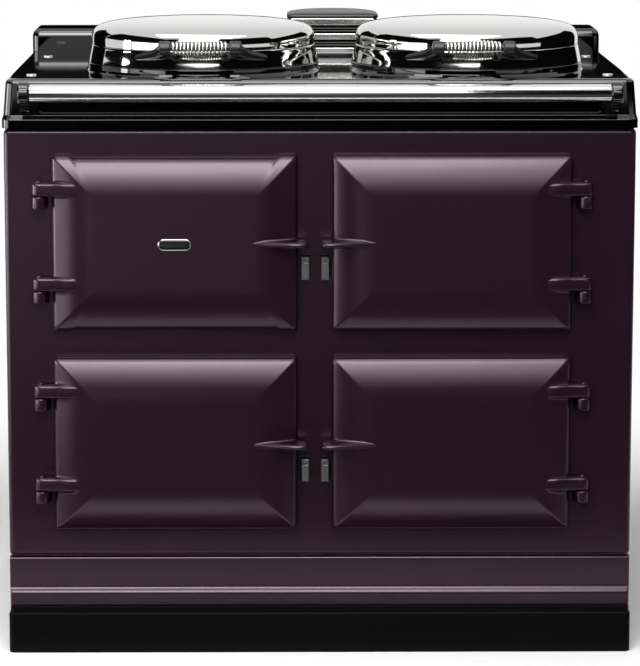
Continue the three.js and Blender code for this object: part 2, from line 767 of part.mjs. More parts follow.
// A horn that swells from the door's face and passes beyond its free edge, as a handle.
function horn(door) {
  const toHinge = door.side;
  const tip = door.free - toHinge * HORN.overhang;
  const stations = [
    { along: 0, thick: 7, front: 47, rear: 27 },
    { along: 2, thick: 11, front: 54, rear: 21 },
    { along: 8, thick: 13, front: 59, rear: 17 },
    { along: 20, thick: 13, front: 60, rear: 15 },
    { along: 42, thick: 11.5, front: 55, rear: 17 },
    { along: 68, thick: 7.5, front: 43, rear: 24 },
    { along: HORN.length, thick: 2, front: 34, rear: 30 },
  ];
  const sides = 8;
  const rings = stations.map(({ along, thick, front, rear }) =>
    Array.from({ length: sides }, (_, i) => {
      const angle = (2 * Math.PI * i) / sides;
      const proud = (front + rear) / 2 + ((front - rear) / 2) * Math.cos(angle);
      const z = door.z + 1.5 + (thick / 2) * Math.sin(angle);
      return new THREE.Vector3(tip + toHinge * along, behindLip(CASE.front - proud), z);
    }),
  );
  return loft(rings);
}

function doorCasting(door) {
  const axis = hingeAxis(door);
  const heights = Object.values(HINGE_HEIGHTS).map((height) => door.z + height);
  const arms = heights.map((z) => hingeArm(door, z));
  const bores = heights.map((z) =>
    upright(discShape(axis.x, axis.y, HINGE.bore), z - HINGE.arm, z + HINGE.arm, {
      curveSegments: 5,
    }),
  );
  const backCut = behindLip(CASE.front - DOOR_FACE.back);
  const [x0, x1] = [Math.min(door.free, door.hinged), Math.max(door.free, door.hinged)];
  const high = [x1 + 60, backCut + 40, door.z + 200];
  const behind = block([x0 - 60, backCut, door.z - 200], high);
  return cut(join(doorBody(door), ...arms, horn(door)), behind, ...bores);
}

// A tapered plug on the back of the door that fills the mouth behind it.
function doorLiner(door) {
  const front = behindLip(CASE.front - DOOR_FACE.back + GAP);
  const plug = [
    [4, 0],
    [4, CASE.faceBack - CASE.front],
    [9, door.plug - 3],
    [12, door.plug],
  ];
  return loft(
    plug.map(([inset, depth]) => {
      const points = openingShape(door, inset).getPoints();
      return facingRing(points.map(({ x, y }) => [x, y]), front + depth);
    }),
  );
}

// A knuckle below the door's arm on a foot against the front plate, with the pin standing in it.
function hingeBracket(door, armHeight) {
  const axis = hingeAxis(door);
  const top = armHeight - HINGE.arm / 2 - GAP;
  const foot = behindLip(CASE.front) - GAP;
  const half = HINGE.radius;
  const plan = new THREE.Shape();
  plan.moveTo(axis.x + half + 2, foot);
  plan.lineTo(axis.x + half, axis.y);
  plan.absarc(axis.x, axis.y, half, 0, -Math.PI, true);
  plan.lineTo(axis.x - half - 2, foot);
  const bevel = { bevelEnabled: true, bevelSize: 1.5, bevelOffset: -1.5, bevelThickness: 1.5 };
  const options = { ...bevel, bevelSegments: 1, curveSegments: 4 };
  const knuckle = upright(plan, top - HINGE.knuckle + 1.5, top - 1.5, options);
  const pinTop = armHeight + HINGE.arm / 2 + 3;
  const pin = [
    [0, top - 5],
    [HINGE.pin, top - 5],
    [HINGE.pin, pinTop - 1.5],
    [0, pinTop],
  ];
  return join(knuckle, revolved(pin, axis.x, axis.y, 10));
}

// ---- Lids ----
const LID_OUTSIDE = [
  [LID.radius, LID.bottom],
  [182.6, 936],
  [180.4, 946],
  [LID.seam, LID.seamHeight],
  [LID.seam, 966],
  [176.6, 974],
  [171, 980],
  [161, 984.8],
  [138, 989],
  [95, 992.6],
  [45, 994.1],
];

// A flared ring with the arm that turns on the hinge pin at its back.
function lidSkirt(lid) {
  const y = behindLip(LID.depth);
  const wall = 5;
  const outside = LID_OUTSIDE.slice(0, 4);
  const inside = [outside.at(-1), outside[0]].map(([radius, z]) => [radius - wall, z]);
  const ring = revolved([...outside, ...inside, outside[0]], lid.x, y);
  const { half, height, knuckle, bore } = LID_HINGE;
  const pinY = behindLip(LID_HINGE.depth);
  const side = new THREE.Shape();
  side.moveTo(y + 176, height - 8);
  side.absarc(pinY, height, knuckle, -0.5 * Math.PI, 0.5 * Math.PI, false);
  side.lineTo(y + 176, height + 8);
  const arm = alongX(side, lid.x - half, lid.x + half, { curveSegments: 8 });
  const hole = alongX(discShape(pinY, height, bore), lid.x - half - 1, lid.x + half + 1);
  return cut(join(ring, arm), hole);
}

// A pressed shell with an upright side, a round shoulder and a shallow crown.
function lidDome(lid) {
  const outside = LID_OUTSIDE.slice(3).map(([radius, z]) => [radius, z + GAP]);
  const inside = [
    [0, LID.top - 3.5],
    [130, 986],
    [170, 974],
    [LID.seam - 4, LID.seamHeight + GAP],
  ];
  const profile = [...outside, [0, LID.top], ...inside, outside[0]];
  return revolved(profile, lid.x, behindLip(LID.depth));
}

// The insulated pan inside the lid, its bottom close above the hotplate.
function lidLiner(lid) {
  const profile = [
    [0, 921],
    [154, 921],
    [156, 929],
    [166, 932],
    [166, 948],
    [0, 948],
  ];
  return revolved(profile, lid.x, behindLip(LID.depth), 28);
}

// The lid's outside grown by a clearance, as a full body to trim what lies against it.
function lidEnvelope(lid) {
  const grown = LID_OUTSIDE.map(([radius, z]) => [radius + GAP, z]);
  const profile = [[0, LID.bottom - 3], [grown[0][0], LID.bottom - 3], ...grown, [0, LID.top]];
  return revolved(profile, lid.x, behindLip(LID.depth));
}

// Two cast lugs with feet that sweep back along the lid, joined by the rod inside the coil.
function gripFrame(lid) {
  const y = behindLip(GRIP.depth);
  const lidY = behindLip(LID.depth);
  const { lugInner, lugOuter, lugRadius, rod, height } = GRIP;
  const pieces = [-1, 1].flatMap((side) => {
    const [x0, x1] = [side * lugInner, side * lugOuter].sort((p, q) => p - q);
    const bevel = { bevelEnabled: true, bevelSize: 2, bevelOffset: -2, bevelThickness: 2 };
    const options = { ...bevel, bevelSegments: 1, curveSegments: 5 };
    const boss = alongX(discShape(y, height, lugRadius), lid.x + x0 + 2, lid.x + x1 - 2, options);
    const sweep = [
      { x: 56, y: y + 2, z: height, wide: 8, tall: 9 },
      { x: 58, y: y + 18, z: height - 3, wide: 9, tall: 9 },
      { x: 68, y: y + 32, z: height - 10, wide: 9, tall: 8 },
      { x: 84, y: y + 46, z: height - 15, wide: 8, tall: 6.5 },
      { x: 100, y: y + 60, z: height - 19, wide: 6, tall: 4.5 },
    ];
    const rings = sweep.map((point, i) => {
      const before = sweep[Math.max(i - 1, 0)];
      const after = sweep[Math.min(i + 1, sweep.length - 1)];
      const along = new THREE.Vector2(after.x - before.x, after.y - before.y).normalize();
      return Array.from({ length: 7 }, (_, k) => {
        const angle = (2 * Math.PI * k) / 7;
        const across = point.wide * Math.cos(angle);
        const x = lid.x + side * (point.x + across * along.y);
        const z = point.z + point.tall * Math.sin(angle);
        return new THREE.Vector3(x, point.y - across * along.x, z);
      });
    });
    return [boss, loft(rings)];
  });
  const core = alongX(discShape(y, height, rod), lid.x - lugInner - 3, lid.x + lugInner + 3);
  const nearby = block([lid.x - 130, y - 30, 900], [lid.x + 130, lidY, 1000]);
  return cut(join(core, ...pieces), lidEnvelope(lid).intersect(nearby));
}

// The centre line of the coil: straight ends along the rod, then turns that swell to the middle.
function coilPath() {
  const { turns, wire, middle, ends, steps } = COIL;
  const half = GRIP.lugInner - GAP;
  const windings = half - wire;
  const points = [];
  const add = (x, radius, angle) => {
    points.push(new THREE.Vector3(x, radius * Math.cos(angle), radius * Math.sin(angle)));
  };
  add(-half, ends, 0);
  const last = turns * steps;
  for (let i = 0; i <= last; i++) {
    const share = i / last;
    const radius = ends + (middle - ends) * Math.sin(Math.PI * share) ** 1.2;
    add(-windings + 2 * windings * share, radius, 2 * Math.PI * turns * share);
  }
  add(half, ends, 2 * Math.PI * turns);
  return points;
}

// One unbroken tube around the path, closed at both ends; its end sections face along the rod.
function coil(lid) {
  const path = coilPath();
  const along = new THREE.Vector3(1, 0, 0);
  const rings = path.map((point, i) => {
    const isEnd = i === 0 || i === path.length - 1;
    const before = path[Math.max(i - 1, 0)];
    const after = path[Math.min(i + 1, path.length - 1)];
    const tangent = isEnd ? along.clone() : after.clone().sub(before).normalize();
    const radial = new THREE.Vector3(0, point.y, point.z).normalize();
    radial.addScaledVector(tangent, -radial.dot(tangent)).normalize();
    const binormal = new THREE.Vector3().crossVectors(tangent, radial);
    return Array.from({ length: COIL.sides }, (_, k) => {
      const angle = (2 * Math.PI * k) / COIL.sides;
      return point
        .clone()
        .addScaledVector(radial, (COIL.wire / 2) * Math.cos(angle))
        .addScaledVector(binormal, (COIL.wire / 2) * Math.sin(angle))
        .add(new THREE.Vector3(lid.x, behindLip(GRIP.depth), GRIP.height));
    });
  });
  return loft(rings);
}

// The least gap of the coil to itself, measured between points more than half a turn apart.
function leastCoilGap() {
  const path = coilPath();
  let least = Infinity;
  for (let i = 0; i < path.length; i++) {
    for (let j = i + COIL.steps / 2 + 1; j < path.length; j++) {
      least = Math.min(least, path[i].distanceTo(path[j]));
    }
  }
  return least - COIL.wire;
}

// A seat on the top plate with two ears and the pin between them.
function lidHingeBracket(lid) {
  const y = behindLip(LID_HINGE.depth);
  const { height, knuckle, half, pin } = LID_HINGE;
  const seat = HOB_HEIGHT + GAP;
  const base = block([lid.x - 30, y - 14, seat], [lid.x + 30, y + 16, seat + 7]);
  const ears = [-1, 1].map((side) => {
    const ear = new THREE.Shape();
    ear.moveTo(y - 12, seat + 5);
    ear.lineTo(y + 12, seat + 5);
    ear.absarc(y, height, knuckle, 0, Math.PI, false);
    const [x0, x1] = [side * (half + 0.6), side * (half + 10)].sort((p, q) => p - q);
    return alongX(ear, lid.x + x0, lid.x + x1);
  });
  const rod = alongX(discShape(y, height, pin), lid.x - half - 3, lid.x + half + 3);
  return join(base, ...ears, rod);
}

// ---- Assembly ----
addMesh(cookerGroup, "plinth", plinth(), BLACK_SATIN);
addMesh(cookerGroup, "skirting", skirting(), AUBERGINE_ENAMEL);
addMesh(cookerGroup, "front_plate", frontPlate(), AUBERGINE_ENAMEL);
addMesh(cookerGroup, "side_panel_left", sidePanel(-1), BLACK_SATIN);
addMesh(cookerGroup, "side_panel_right", sidePanel(1), BLACK_SATIN);
addMesh(cookerGroup, "back_panel", backPanel(), SATIN_STEEL);
addMesh(cookerGroup, "cable_gland", cableGland(), BLACK_SATIN);
addMesh(cookerGroup, "top_plate", topPlate(), BLACK_ENAMEL);
addMesh(cookerGroup, "rear_upstand", upstand(), BLACK_ENAMEL);
addMesh(cookerGroup, "vent_cowl", ventCowl(), BLACK_ENAMEL);
addMesh(cookerGroup, "vent_cap", ventCap(), BLACK_SATIN);
addMesh(cookerGroup, "handrail", handrail(), POLISHED_STEEL);
addMesh(cookerGroup, "rail_bracket_left", railBracket(-1), BLACK_ENAMEL);
addMesh(cookerGroup, "rail_bracket_right", railBracket(1), BLACK_ENAMEL);
addMesh(cookerGroup, "insulation", insulation(), MINERAL_WOOL);

for (const { name, shelf: shelfName, door } of OVENS) {
  addMesh(cookerGroup, name, oven(door), CAST_IRON);
  addMesh(cookerGroup, shelfName, shelf(door), SATIN_STEEL);
}

const controlBox = boxWithMouth(DOORS[0], CONTROLS.depth, CONTROLS.wall);
addMesh(cookerGroup, "control_box", controlBox, SATIN_STEEL);
addMesh(cookerGroup, "control_panel", controlPanel(), SATIN_STEEL);
["left", "middle", "right"].forEach((place, index) => {
  addMesh(cookerGroup, "control_knob_" + place, knob(index), BLACK_SATIN);
});

for (const pair of CATCHES) {
  addMesh(cookerGroup, pair.name, catchStrip(pair), SATIN_STEEL);
}

for (const door of DOORS) {
  addMesh(cookerGroup, "door_" + door.name, doorCasting(door), AUBERGINE_ENAMEL);
  addMesh(cookerGroup, "door_liner_" + door.name, doorLiner(door), ALUMINIUM);
  for (const [place, height] of Object.entries(HINGE_HEIGHTS)) {
    const bracket = hingeBracket(door, door.z + height);
    addMesh(cookerGroup, "hinge_" + door.name + "_" + place, bracket, AUBERGINE_ENAMEL);
  }
}

for (const lid of LIDS) {
  const lidGroup = new THREE.Group();
  addMesh(lidGroup, "lid_dome_" + lid.name, lidDome(lid), POLISHED_STEEL);
  addMesh(lidGroup, "lid_skirt_" + lid.name, lidSkirt(lid), POLISHED_STEEL);
  addMesh(lidGroup, "lid_liner_" + lid.name, lidLiner(lid), ALUMINIUM);
  addMesh(lidGroup, "lid_grip_frame_" + lid.name, gripFrame(lid), BLACK_SATIN);
  addMesh(lidGroup, "lid_coil_" + lid.name, coil(lid), POLISHED_STEEL);
  cookerGroup.add(lidGroup);
  addMesh(cookerGroup, "lid_hinge_" + lid.name, lidHingeBracket(lid), BLACK_ENAMEL);
  addMesh(cookerGroup, "hotplate_" + lid.name, hotplate(lid), CAST_IRON);
  addMesh(cookerGroup, "hotplate_element_" + lid.name, element(lid), SATIN_STEEL);
}

console.log("least gap of the coil to itself, mm: " + leastCoilGap().toFixed(2));

export default cookerGroup;
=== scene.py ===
"""Dresses the cast iron range cooker: enamelled castings, steel lids with coil grips, rail, hob and plinth."""

import math

import bmesh
import bpy
from mathutils import Euler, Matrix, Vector


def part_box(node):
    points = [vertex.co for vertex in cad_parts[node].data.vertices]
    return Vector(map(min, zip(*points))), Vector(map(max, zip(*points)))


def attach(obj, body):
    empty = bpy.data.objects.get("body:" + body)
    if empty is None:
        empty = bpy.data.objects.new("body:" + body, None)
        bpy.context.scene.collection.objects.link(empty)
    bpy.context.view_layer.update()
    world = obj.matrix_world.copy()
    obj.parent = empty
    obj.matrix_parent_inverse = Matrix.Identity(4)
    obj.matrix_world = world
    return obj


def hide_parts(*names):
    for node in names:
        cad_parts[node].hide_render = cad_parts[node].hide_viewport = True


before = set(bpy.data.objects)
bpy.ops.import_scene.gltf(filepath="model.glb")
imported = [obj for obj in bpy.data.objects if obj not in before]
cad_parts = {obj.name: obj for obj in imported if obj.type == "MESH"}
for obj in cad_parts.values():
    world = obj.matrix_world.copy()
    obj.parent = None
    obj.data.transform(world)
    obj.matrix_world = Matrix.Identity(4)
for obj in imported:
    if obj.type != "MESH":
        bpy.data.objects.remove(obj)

bl_info = {
    "name": "Cast Iron Range Cooker",
    "version": (1, 0, 0),
    "blender": (4, 5, 0),
    "location": "View3D > Sidebar > Cooker",
    "description": "Builds the castings, lids, rail and hob of a heat-storage range cooker",
    "category": "Add Mesh",
}

# Lengths are in millimetres in the cooker's own frame: X to the right, Y to the back, Z up,
# with the origin on the floor under the middle. Meshes are scaled to metres as they are made.
MM = 0.001
LIP_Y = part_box("top_plate")[0].y / MM  # the front edge of the hob's lip
HALF = 493.5
PLATE = {"half": 491.5, "front": 10, "back": 19, "rim": 30, "low": 155, "high": 836}
SKIRTING = {"face": 15, "nose": 6, "step": 101}
DOORS = {
    "upper_left": {"free": -35, "hinged": -416.5, "z": 658.5, "ears": 4.5, "plug": 15},
    "upper_right": {"free": 18, "hinged": 392.5, "z": 658.5, "ears": 0, "plug": 38},
    "lower_left": {"free": -35, "hinged": -416.5, "z": 340.5, "ears": 0, "plug": 38},
    "lower_right": {"free": 18, "hinged": 392.5, "z": 340.5, "ears": 0, "plug": 38},
}
DOOR_HALF_HEIGHT = 138.5
DOOR_BACK = 1
DOOR_MIDDLE = 36
MOUTH = {"half_width": 170, "half_height": 118, "radius": 20}
HINGE = {"offset": 20, "proud": 19, "radius": 10.5, "arm": 21, "reach": 64, "knuckle": 20}
HINGE_HEIGHTS = {"top": 85, "bottom": -63.5}
HORN = {"overhang": 17.5, "length": 89}
# Sections of a horn: distance from its outer end, height, and how far its front and back stand proud.
HORN_STATIONS = [
    (0.0, 1.5, 44, 33), (0.5, 5.5, 49, 27), (2, 9, 54, 22), (4.5, 11.6, 57.5, 19), (8, 13, 59, 17),
    (14, 13.2, 60, 15.5), (20, 13, 60, 15), (30, 12.4, 58, 15), (42, 11.2, 54.5, 17), (55, 9.4, 49, 20),
    (68, 7.0, 43.5, 24), (80, 4.2, 38.6, 28), (86, 2.4, 36.4, 30), (HORN["length"], 0.8, 35, 31),
]
OVENS = ("roasting", "baking", "simmering")
LID_X = {"left": -185.6, "right": 237.6}
LID_DEPTH = 215
RAIL = {"radius": 13.4, "bore": 11.4, "half": 446, "depth": -35, "z": 895}
CATCH_Z = {"catch_upper": 618, "catch_lower": 297}
CATCH_X = (-23, 8)
BADGE = {"x": -225.75, "z": 658.5, "half": 25.5, "tall": 9}
PLINTH = {"front": 6, "back": 690, "wall": 40}
HOB = {"top": 913, "lip": 837, "back": 594, "bolt_xs": (-452, 452), "bolt_depths": (80, 440)}
UPSTAND = {"half": 490.3, "front": 594.3, "back": 698, "shoulder": 934}
COWL = {"x": 26, "half": 77.5, "front": 445, "straight": 70, "low": 913, "high": 977}
LOUVRE = {"lows": (927, 951), "half": 66, "height": 14}
GRIP = {"depth": 4, "z": 961, "inner": 45.5}
DIAL = {"panel": 92, "radius": 29, "dots": 11, "first": -60, "step": 30, "dot": 1.5}


def behind(depth):
    """The Y of a depth behind the hob's lip."""
    return LIP_Y + depth


def standing(proud):
    """The Y that stands this far in front of the front plate."""
    return behind(PLATE["front"] - proud)


# ---------------------------------------------------------------- sizes and colours
SRGB = {"subtype": "COLOR", "size": 3, "min": 0, "max": 1}
DISTANCE = {"subtype": "DISTANCE", "unit": "LENGTH"}


class CookerColours(bpy.types.PropertyGroup):
    """The finishes that a kitchen is matched to."""

    enamel: bpy.props.FloatVectorProperty(
        name="Enamel",
        description="Vitreous enamel of the doors, front plate and skirting, as sRGB",
        **SRGB,
        default=(0.097, 0.020, 0.066),
    )
    hob: bpy.props.FloatVectorProperty(
        name="Hob",
        description="Black enamel of the top plate, upstand and vent cowl, as sRGB",
        **SRGB,
        default=(0.008, 0.008, 0.0085),
    )
    steel: bpy.props.FloatVectorProperty(
        name="Steel",
        description="Polished steel of the lids and the rail, as sRGB",
        **SRGB,
        default=(0.800, 0.800, 0.792),
    )


class CookerSizes(bpy.types.PropertyGroup):
    """The sizes that a pattern maker would change within the frame."""

    door_border: bpy.props.FloatProperty(
        name="Door Border",
        description="Width of the slope between a door's rolled edge and its flat middle",
        **DISTANCE,
        min=0.030,
        max=0.090,
        default=0.068,
    )
    door_roll: bpy.props.FloatProperty(
        name="Door Roll",
        description="Radius of a door's rolled edge",
        **DISTANCE,
        min=0.004,
        max=0.014,
        default=0.012,
    )
    coil_turns: bpy.props.IntProperty(
        name="Coil Turns",
        description="Number of turns in the coil of a lid's grip",
        min=8,
        max=18,
        default=15,
    )
    coil_wire: bpy.props.FloatProperty(
        name="Coil Wire",
        description="Diameter of the wire of a lid's grip",
        **DISTANCE,
        min=0.002,
        max=0.0045,
        default=0.0036,
    )
    shelf_bars: bpy.props.IntProperty(
        name="Shelf Bars",
        description="Number of bars from front to back in each oven shelf",
        min=5,
        max=21,
        default=15,
    )


# ---------------------------------------------------------------- materials
def linear(colour):
    """A colour in sRGB, as a hex word or three numbers, turned to linear RGBA."""
    if isinstance(colour, str):
        colour = [int(colour[i : i + 2], 16) / 255 for i in (1, 3, 5)]
    return [c / 12.92 if c <= 0.04045 else ((c + 0.055) / 1.055) ** 2.4 for c in colour] + [1.0]


def add_node(tree, kind, inputs=None, **settings):
    """Adds a node to a tree, with its settings, and with its inputs set or linked."""
    made = tree.nodes.new(kind)
    for name, value in settings.items():
        setattr(made, name, value)
    for socket, value in (inputs or {}).items():
        if isinstance(value, bpy.types.NodeSocket):
            tree.links.new(value, made.inputs[socket])
        else:
            made.inputs[socket].default_value = value
    return made


def new_material(name):
    """An empty node material with its output, and the tree to build it in."""
    material = bpy.data.materials.new(name)
    material.use_nodes = True
    material.node_tree.nodes.clear()
    return material, material.node_tree


def surface(material, inputs, bump):
    """Ends a material in a Principled shader; bump is (height, strength, distance in mm)."""
    tree = material.node_tree
    height, strength, distance = bump
    values = {"Height": height, "Strength": strength, "Distance": distance * MM}
    normal = add_node(tree, "ShaderNodeBump", values).outputs["Normal"]
    shader = add_node(tree, "ShaderNodeBsdfPrincipled", {**inputs, "Normal": normal})
    add_node(tree, "ShaderNodeOutputMaterial", {"Surface": shader.outputs["BSDF"]})
    return material


def object_place(tree):
    """Where a point lies in its own object, in metres."""
    return add_node(tree, "ShaderNodeTexCoord").outputs["Object"]


def object_noise(tree, size_mm, detail=2.0, roughness=0.5, stretch=(1, 1, 1)):
    """Noise over Object coordinates whose features are about size_mm across."""
    scaled = add_node(tree, "ShaderNodeMapping", {"Vector": object_place(tree), "Scale": stretch}).outputs[0]
    values = {"Vector": scaled, "Scale": 1 / (size_mm * MM), "Detail": detail, "Roughness": roughness}
    return add_node(tree, "ShaderNodeTexNoise", values).outputs["Fac"]


def ranged(tree, value, low, high):
    """Spreads a 0 to 1 value over a range."""
    return add_node(tree, "ShaderNodeMapRange", {"Value": value, "To Min": low, "To Max": high}).outputs[0]


def between(tree, value, first, second):
    """A colour between two, by a 0 to 1 value."""
    ramp = add_node(tree, "ShaderNodeValToRGB", {"Fac": value})
    ramp.color_ramp.elements[0].position, ramp.color_ramp.elements[0].color = 0.3, first
    ramp.color_ramp.elements[1].position, ramp.color_ramp.elements[1].color = 0.7, second
    return ramp.outputs["Color"]


def scaled_colour(colour, factor):
    """A linear colour made darker or lighter."""
    return [c * factor for c in colour[:3]] + [1.0]


def patterned(name, colour, shade, rough, bump, more):
    """A material whose colour, roughness and surface follow noises, each given as what object_noise takes.

    shade is (darkest share, lightest share, noise), rough (lowest, highest, noise) and bump (strength,
    distance in mm, noise); more holds the other inputs of the shader."""
    material, tree = new_material(name)
    darkest, lightest, cloud = shade
    colours = [scaled_colour(colour, share) for share in (darkest, lightest)]
    lowest, highest, grain = rough
    strength, distance, relief = bump
    inputs = {
        "Base Color": between(tree, object_noise(tree, *cloud), *colours),
        "Roughness": ranged(tree, object_noise(tree, *grain), lowest, highest),
        **more,
    }
    return surface(material, inputs, (object_noise(tree, *relief), strength, distance))


def vitreous_enamel(name, colour, roughness, wave, ior=1.55, tint=(1, 1, 1, 1)):
    """Glass fused on cast iron, sprayed in three coats: deep gloss over a skin that is never quite flat.

    The eye sees wide soft reflections that waver slightly, and a faint drift in the depth of the colour."""
    rough = (roughness * 0.94, roughness * 1.06, (30, 2.0))
    more = {"IOR": ior, "Specular Tint": tint}
    return patterned(name, colour, (0.92, 1.08, (140, 1.0)), rough, (wave, 0.02, (9, 1.5)), more)


def polished_steel(name, colour, roughness):
    """Stainless steel spun to shape and buffed bright: a near mirror with hairline rings from the buff."""
    # Buffing lines are finer than a pixel, so they are drawn about 1 mm apart to show at all.
    lines = (1000 / 60, 3.0, 0.5, (1, 1, 24))
    rough = (roughness * 0.7, roughness * 1.5, lines)
    return patterned(name, colour, (0.96, 1, (60,)), rough, (0.02, 0.01, lines), {"Metallic": 1.0})


def brushed_steel(name, colour, roughness):
    """Sheet steel drawn under a belt: satin, with fine upright scratches that stretch highlights."""
    # Belt scratches are about 0.1 mm apart; they are drawn 0.8 mm apart so that they show.
    scratches = (0.8, 3.0, 0.6, (1, 1, 0.02))
    rough = (roughness * 0.8, roughness * 1.25, scratches)
    return patterned(name, colour, (0.82, 1, scratches), rough, (0.12, 0.03, scratches), {"Metallic": 1.0})


def powder_coat(name, colour, roughness, gloss=0.5):
    """Polyester powder baked on steel: an even satin black with a fine orange peel."""
    peel = (1.6, 2.0)
    rough = (roughness * 0.85, roughness * 1.15, peel)
    more = {"IOR": 1.5, "Specular IOR Level": gloss}
    return patterned(name, colour, (0.85, 1, (90,)), rough, (0.10, 0.05, peel), more)


def sand_cast_iron(name, colour, roughness):
    """Grey iron from a sand mould, seasoned: dark grains about 1 mm across, with duller hollows."""
    grains = (1.4, 4.0, 0.65)
    rough = (roughness * 0.85, roughness * 1.2, grains)
    return patterned(name, colour, (0.6, 1, grains), rough, (0.35, 0.25, grains), {"Metallic": 0.35})


def pressed_aluminium(name, colour):
    """Aluminium sheet pressed in a die and left bare: soft grey, cloudy, with faint rolling marks."""
    marks = (3.0, 3.0, 0.6, (1, 1, 0.1))
    rough = (0.32, 0.5, marks)
    return patterned(name, colour, (0.85, 1, (55, 2.0)), rough, (0.08, 0.05, marks), {"Metallic": 1.0})


def mineral_wool(name, colour):
    """Spun rock fibre pressed to a slab: matt, straw coloured, with matted fibres a few millimetres long."""
    fibres = (2.5, 6.0, 0.7, (1, 1, 4))
    rough = (0.95, 0.95, fibres)
    return patterned(name, colour, (0.55, 1, fibres), rough, (0.6, 1.2, fibres), {"Sheen Weight": 0.3})


def moulded_rubber(name, colour):
    """Moulded rubber: matt black with a fine pebble from the mould."""
    pebble = (0.9, 2.0)
    return patterned(name, colour, (0.8, 1, pebble), (0.62, 0.62, pebble), (0.2, 0.05, pebble), {})


def ground_iron(name, colour, centres):
    """Cast iron ground flat on a rotary table: grey metal, with rings from the stone round each middle."""
    material, tree = new_material(name)
    split = add_node(tree, "ShaderNodeSeparateXYZ", {"Vector": object_place(tree)}).outputs
    middle = behind(LID_DEPTH) * MM
    y = add_node(tree, "ShaderNodeMath", {0: split["Y"], 1: middle}, operation="SUBTRACT").outputs[0]
    reaches = []
    for centre in centres:
        x = add_node(tree, "ShaderNodeMath", {0: split["X"], 1: centre * MM}, operation="SUBTRACT").outputs[0]
        flat = add_node(tree, "ShaderNodeCombineXYZ", {"X": x, "Y": y}).outputs[0]
        reaches.append(add_node(tree, "ShaderNodeVectorMath", {0: flat}, operation="LENGTH").outputs["Value"])
    reach = add_node(tree, "ShaderNodeMath", {0: reaches[0], 1: reaches[1]}, operation="MINIMUM").outputs[0]
    # Grinding rings are drawn 2.2 mm apart, several times their real spacing, so that they show.
    values = {"W": reach, "Scale": 450, "Detail": 2.0}
    rings = add_node(tree, "ShaderNodeTexNoise", values, noise_dimensions="1D").outputs["Fac"]
    inputs = {
        "Base Color": between(tree, object_noise(tree, 40, 3.0), scaled_colour(colour, 0.65), colour),
        "Metallic": 0.85,
        "Roughness": ranged(tree, rings, 0.28, 0.5),
    }
    return surface(material, inputs, (rings, 0.25, 0.08))


FINISHES = {}


def make_finishes(colours):
    """Makes each finish once, from the colours in the sidebar."""
    enamel, hob, steel = (linear(tuple(c)) for c in (colours.enamel, colours.hob, colours.steel))
    FINISHES.update(
        enamel=vitreous_enamel("vitreous_enamel_aubergine", enamel, 0.25, 0.04, 1.55, (1.0, 0.82, 0.92, 1.0)),
        hob=vitreous_enamel("vitreous_enamel_black", hob, 0.05, 0.03, 1.65),
        steel=polished_steel("polished_stainless_steel", steel, 0.05),
        chrome=polished_steel("bright_chromed_steel", linear("#e4e4e2"), 0.09),
        wire=polished_steel("bright_spring_wire", linear("#d8d8d5"), 0.12),
        bright_satin=polished_steel("satin_stainless_steel", linear("#dcdcd8"), 0.15),
        satin=brushed_steel("satin_steel", linear("#8d9090"), 0.34),
        panel=brushed_steel("galvanised_steel_sheet", linear("#a3a6a6"), 0.42),
        satin_black=powder_coat("powder_coat_black", linear("#101011"), 0.38),
        matt_black=powder_coat("matt_powder_coat_black", linear("#060606"), 0.5, 0.06),
        iron=sand_cast_iron("seasoned_cast_iron", linear("#39393a"), 0.62),
        ground=ground_iron("ground_cast_iron", linear("#6a6a69"), LID_X.values()),
        aluminium=pressed_aluminium("pressed_aluminium", linear("#bcbebf")),
        wool=mineral_wool("mineral_wool_slab", linear("#c3b892")),
        rubber=moulded_rubber("moulded_rubber", linear("#161616")),
    )


# ---------------------------------------------------------------- shapes
def arc(steps, first=0.0, last=math.pi / 2):
    """The angles that divide an arc into equal steps, both ends among them."""
    return [first + (last - first) * i / steps for i in range(steps + 1)]


def full_turn(sides):
    """The angles of the corners of a regular polygon."""
    return arc(sides, 0, 2 * math.pi)[:-1]


def rounded(points, radii, steps=5, closed=True):
    """A polyline whose corners are turned to arcs."""
    made = []
    count = len(points)
    for i, point in enumerate(points):
        radius = radii[i] if isinstance(radii, (list, tuple)) else radii
        at = Vector(point)
        to_last = Vector(points[i - 1]) - at
        to_next = Vector(points[(i + 1) % count]) - at
        is_end = not closed and i in (0, count - 1)
        if is_end or radius <= 0 or to_last.angle(to_next) > math.pi - 0.02:
            made.append(at)
            continue
        half = to_last.angle(to_next) / 2
        run = min(radius / math.tan(half), 0.49 * to_last.length, 0.49 * to_next.length)
        radius = run * math.tan(half)
        centre = at + (to_last.normalized() + to_next.normalized()).normalized() * (radius / math.sin(half))
        start = at + to_last.normalized() * run - centre
        end = at + to_next.normalized() * run - centre
        sweep = start.angle(end)
        for k in range(steps + 1):
            share = k / steps
            turned = start * math.sin((1 - share) * sweep) + end * math.sin(share * sweep)
            made.append(centre + turned / math.sin(sweep))
    return made


def rectangle(u0, v0, u1, v1, radius, steps=6):
    """A rectangle with rounded corners, anticlockwise from its lowest corner."""
    return rounded([(u0, v0), (u1, v0), (u1, v1), (u0, v1)], radius, steps)


def level_ring(points, z):
    """An outline seen from above, laid at a height."""
    return [(u, v, z) for u, v in points]


def facing_ring(points, y):
    """An outline seen from the front, stood at a Y."""
    return [(u, y, v) for u, v in points]


def plan_ring(half, front, back, radii, z, steps=10):
    """A level rectangle about the middle, with rounded corners: the front two come first in the radii."""
    corners = [(-half, front), (half, front), (half, back), (-half, back)]
    return level_ring(rounded(corners, radii, steps), z)


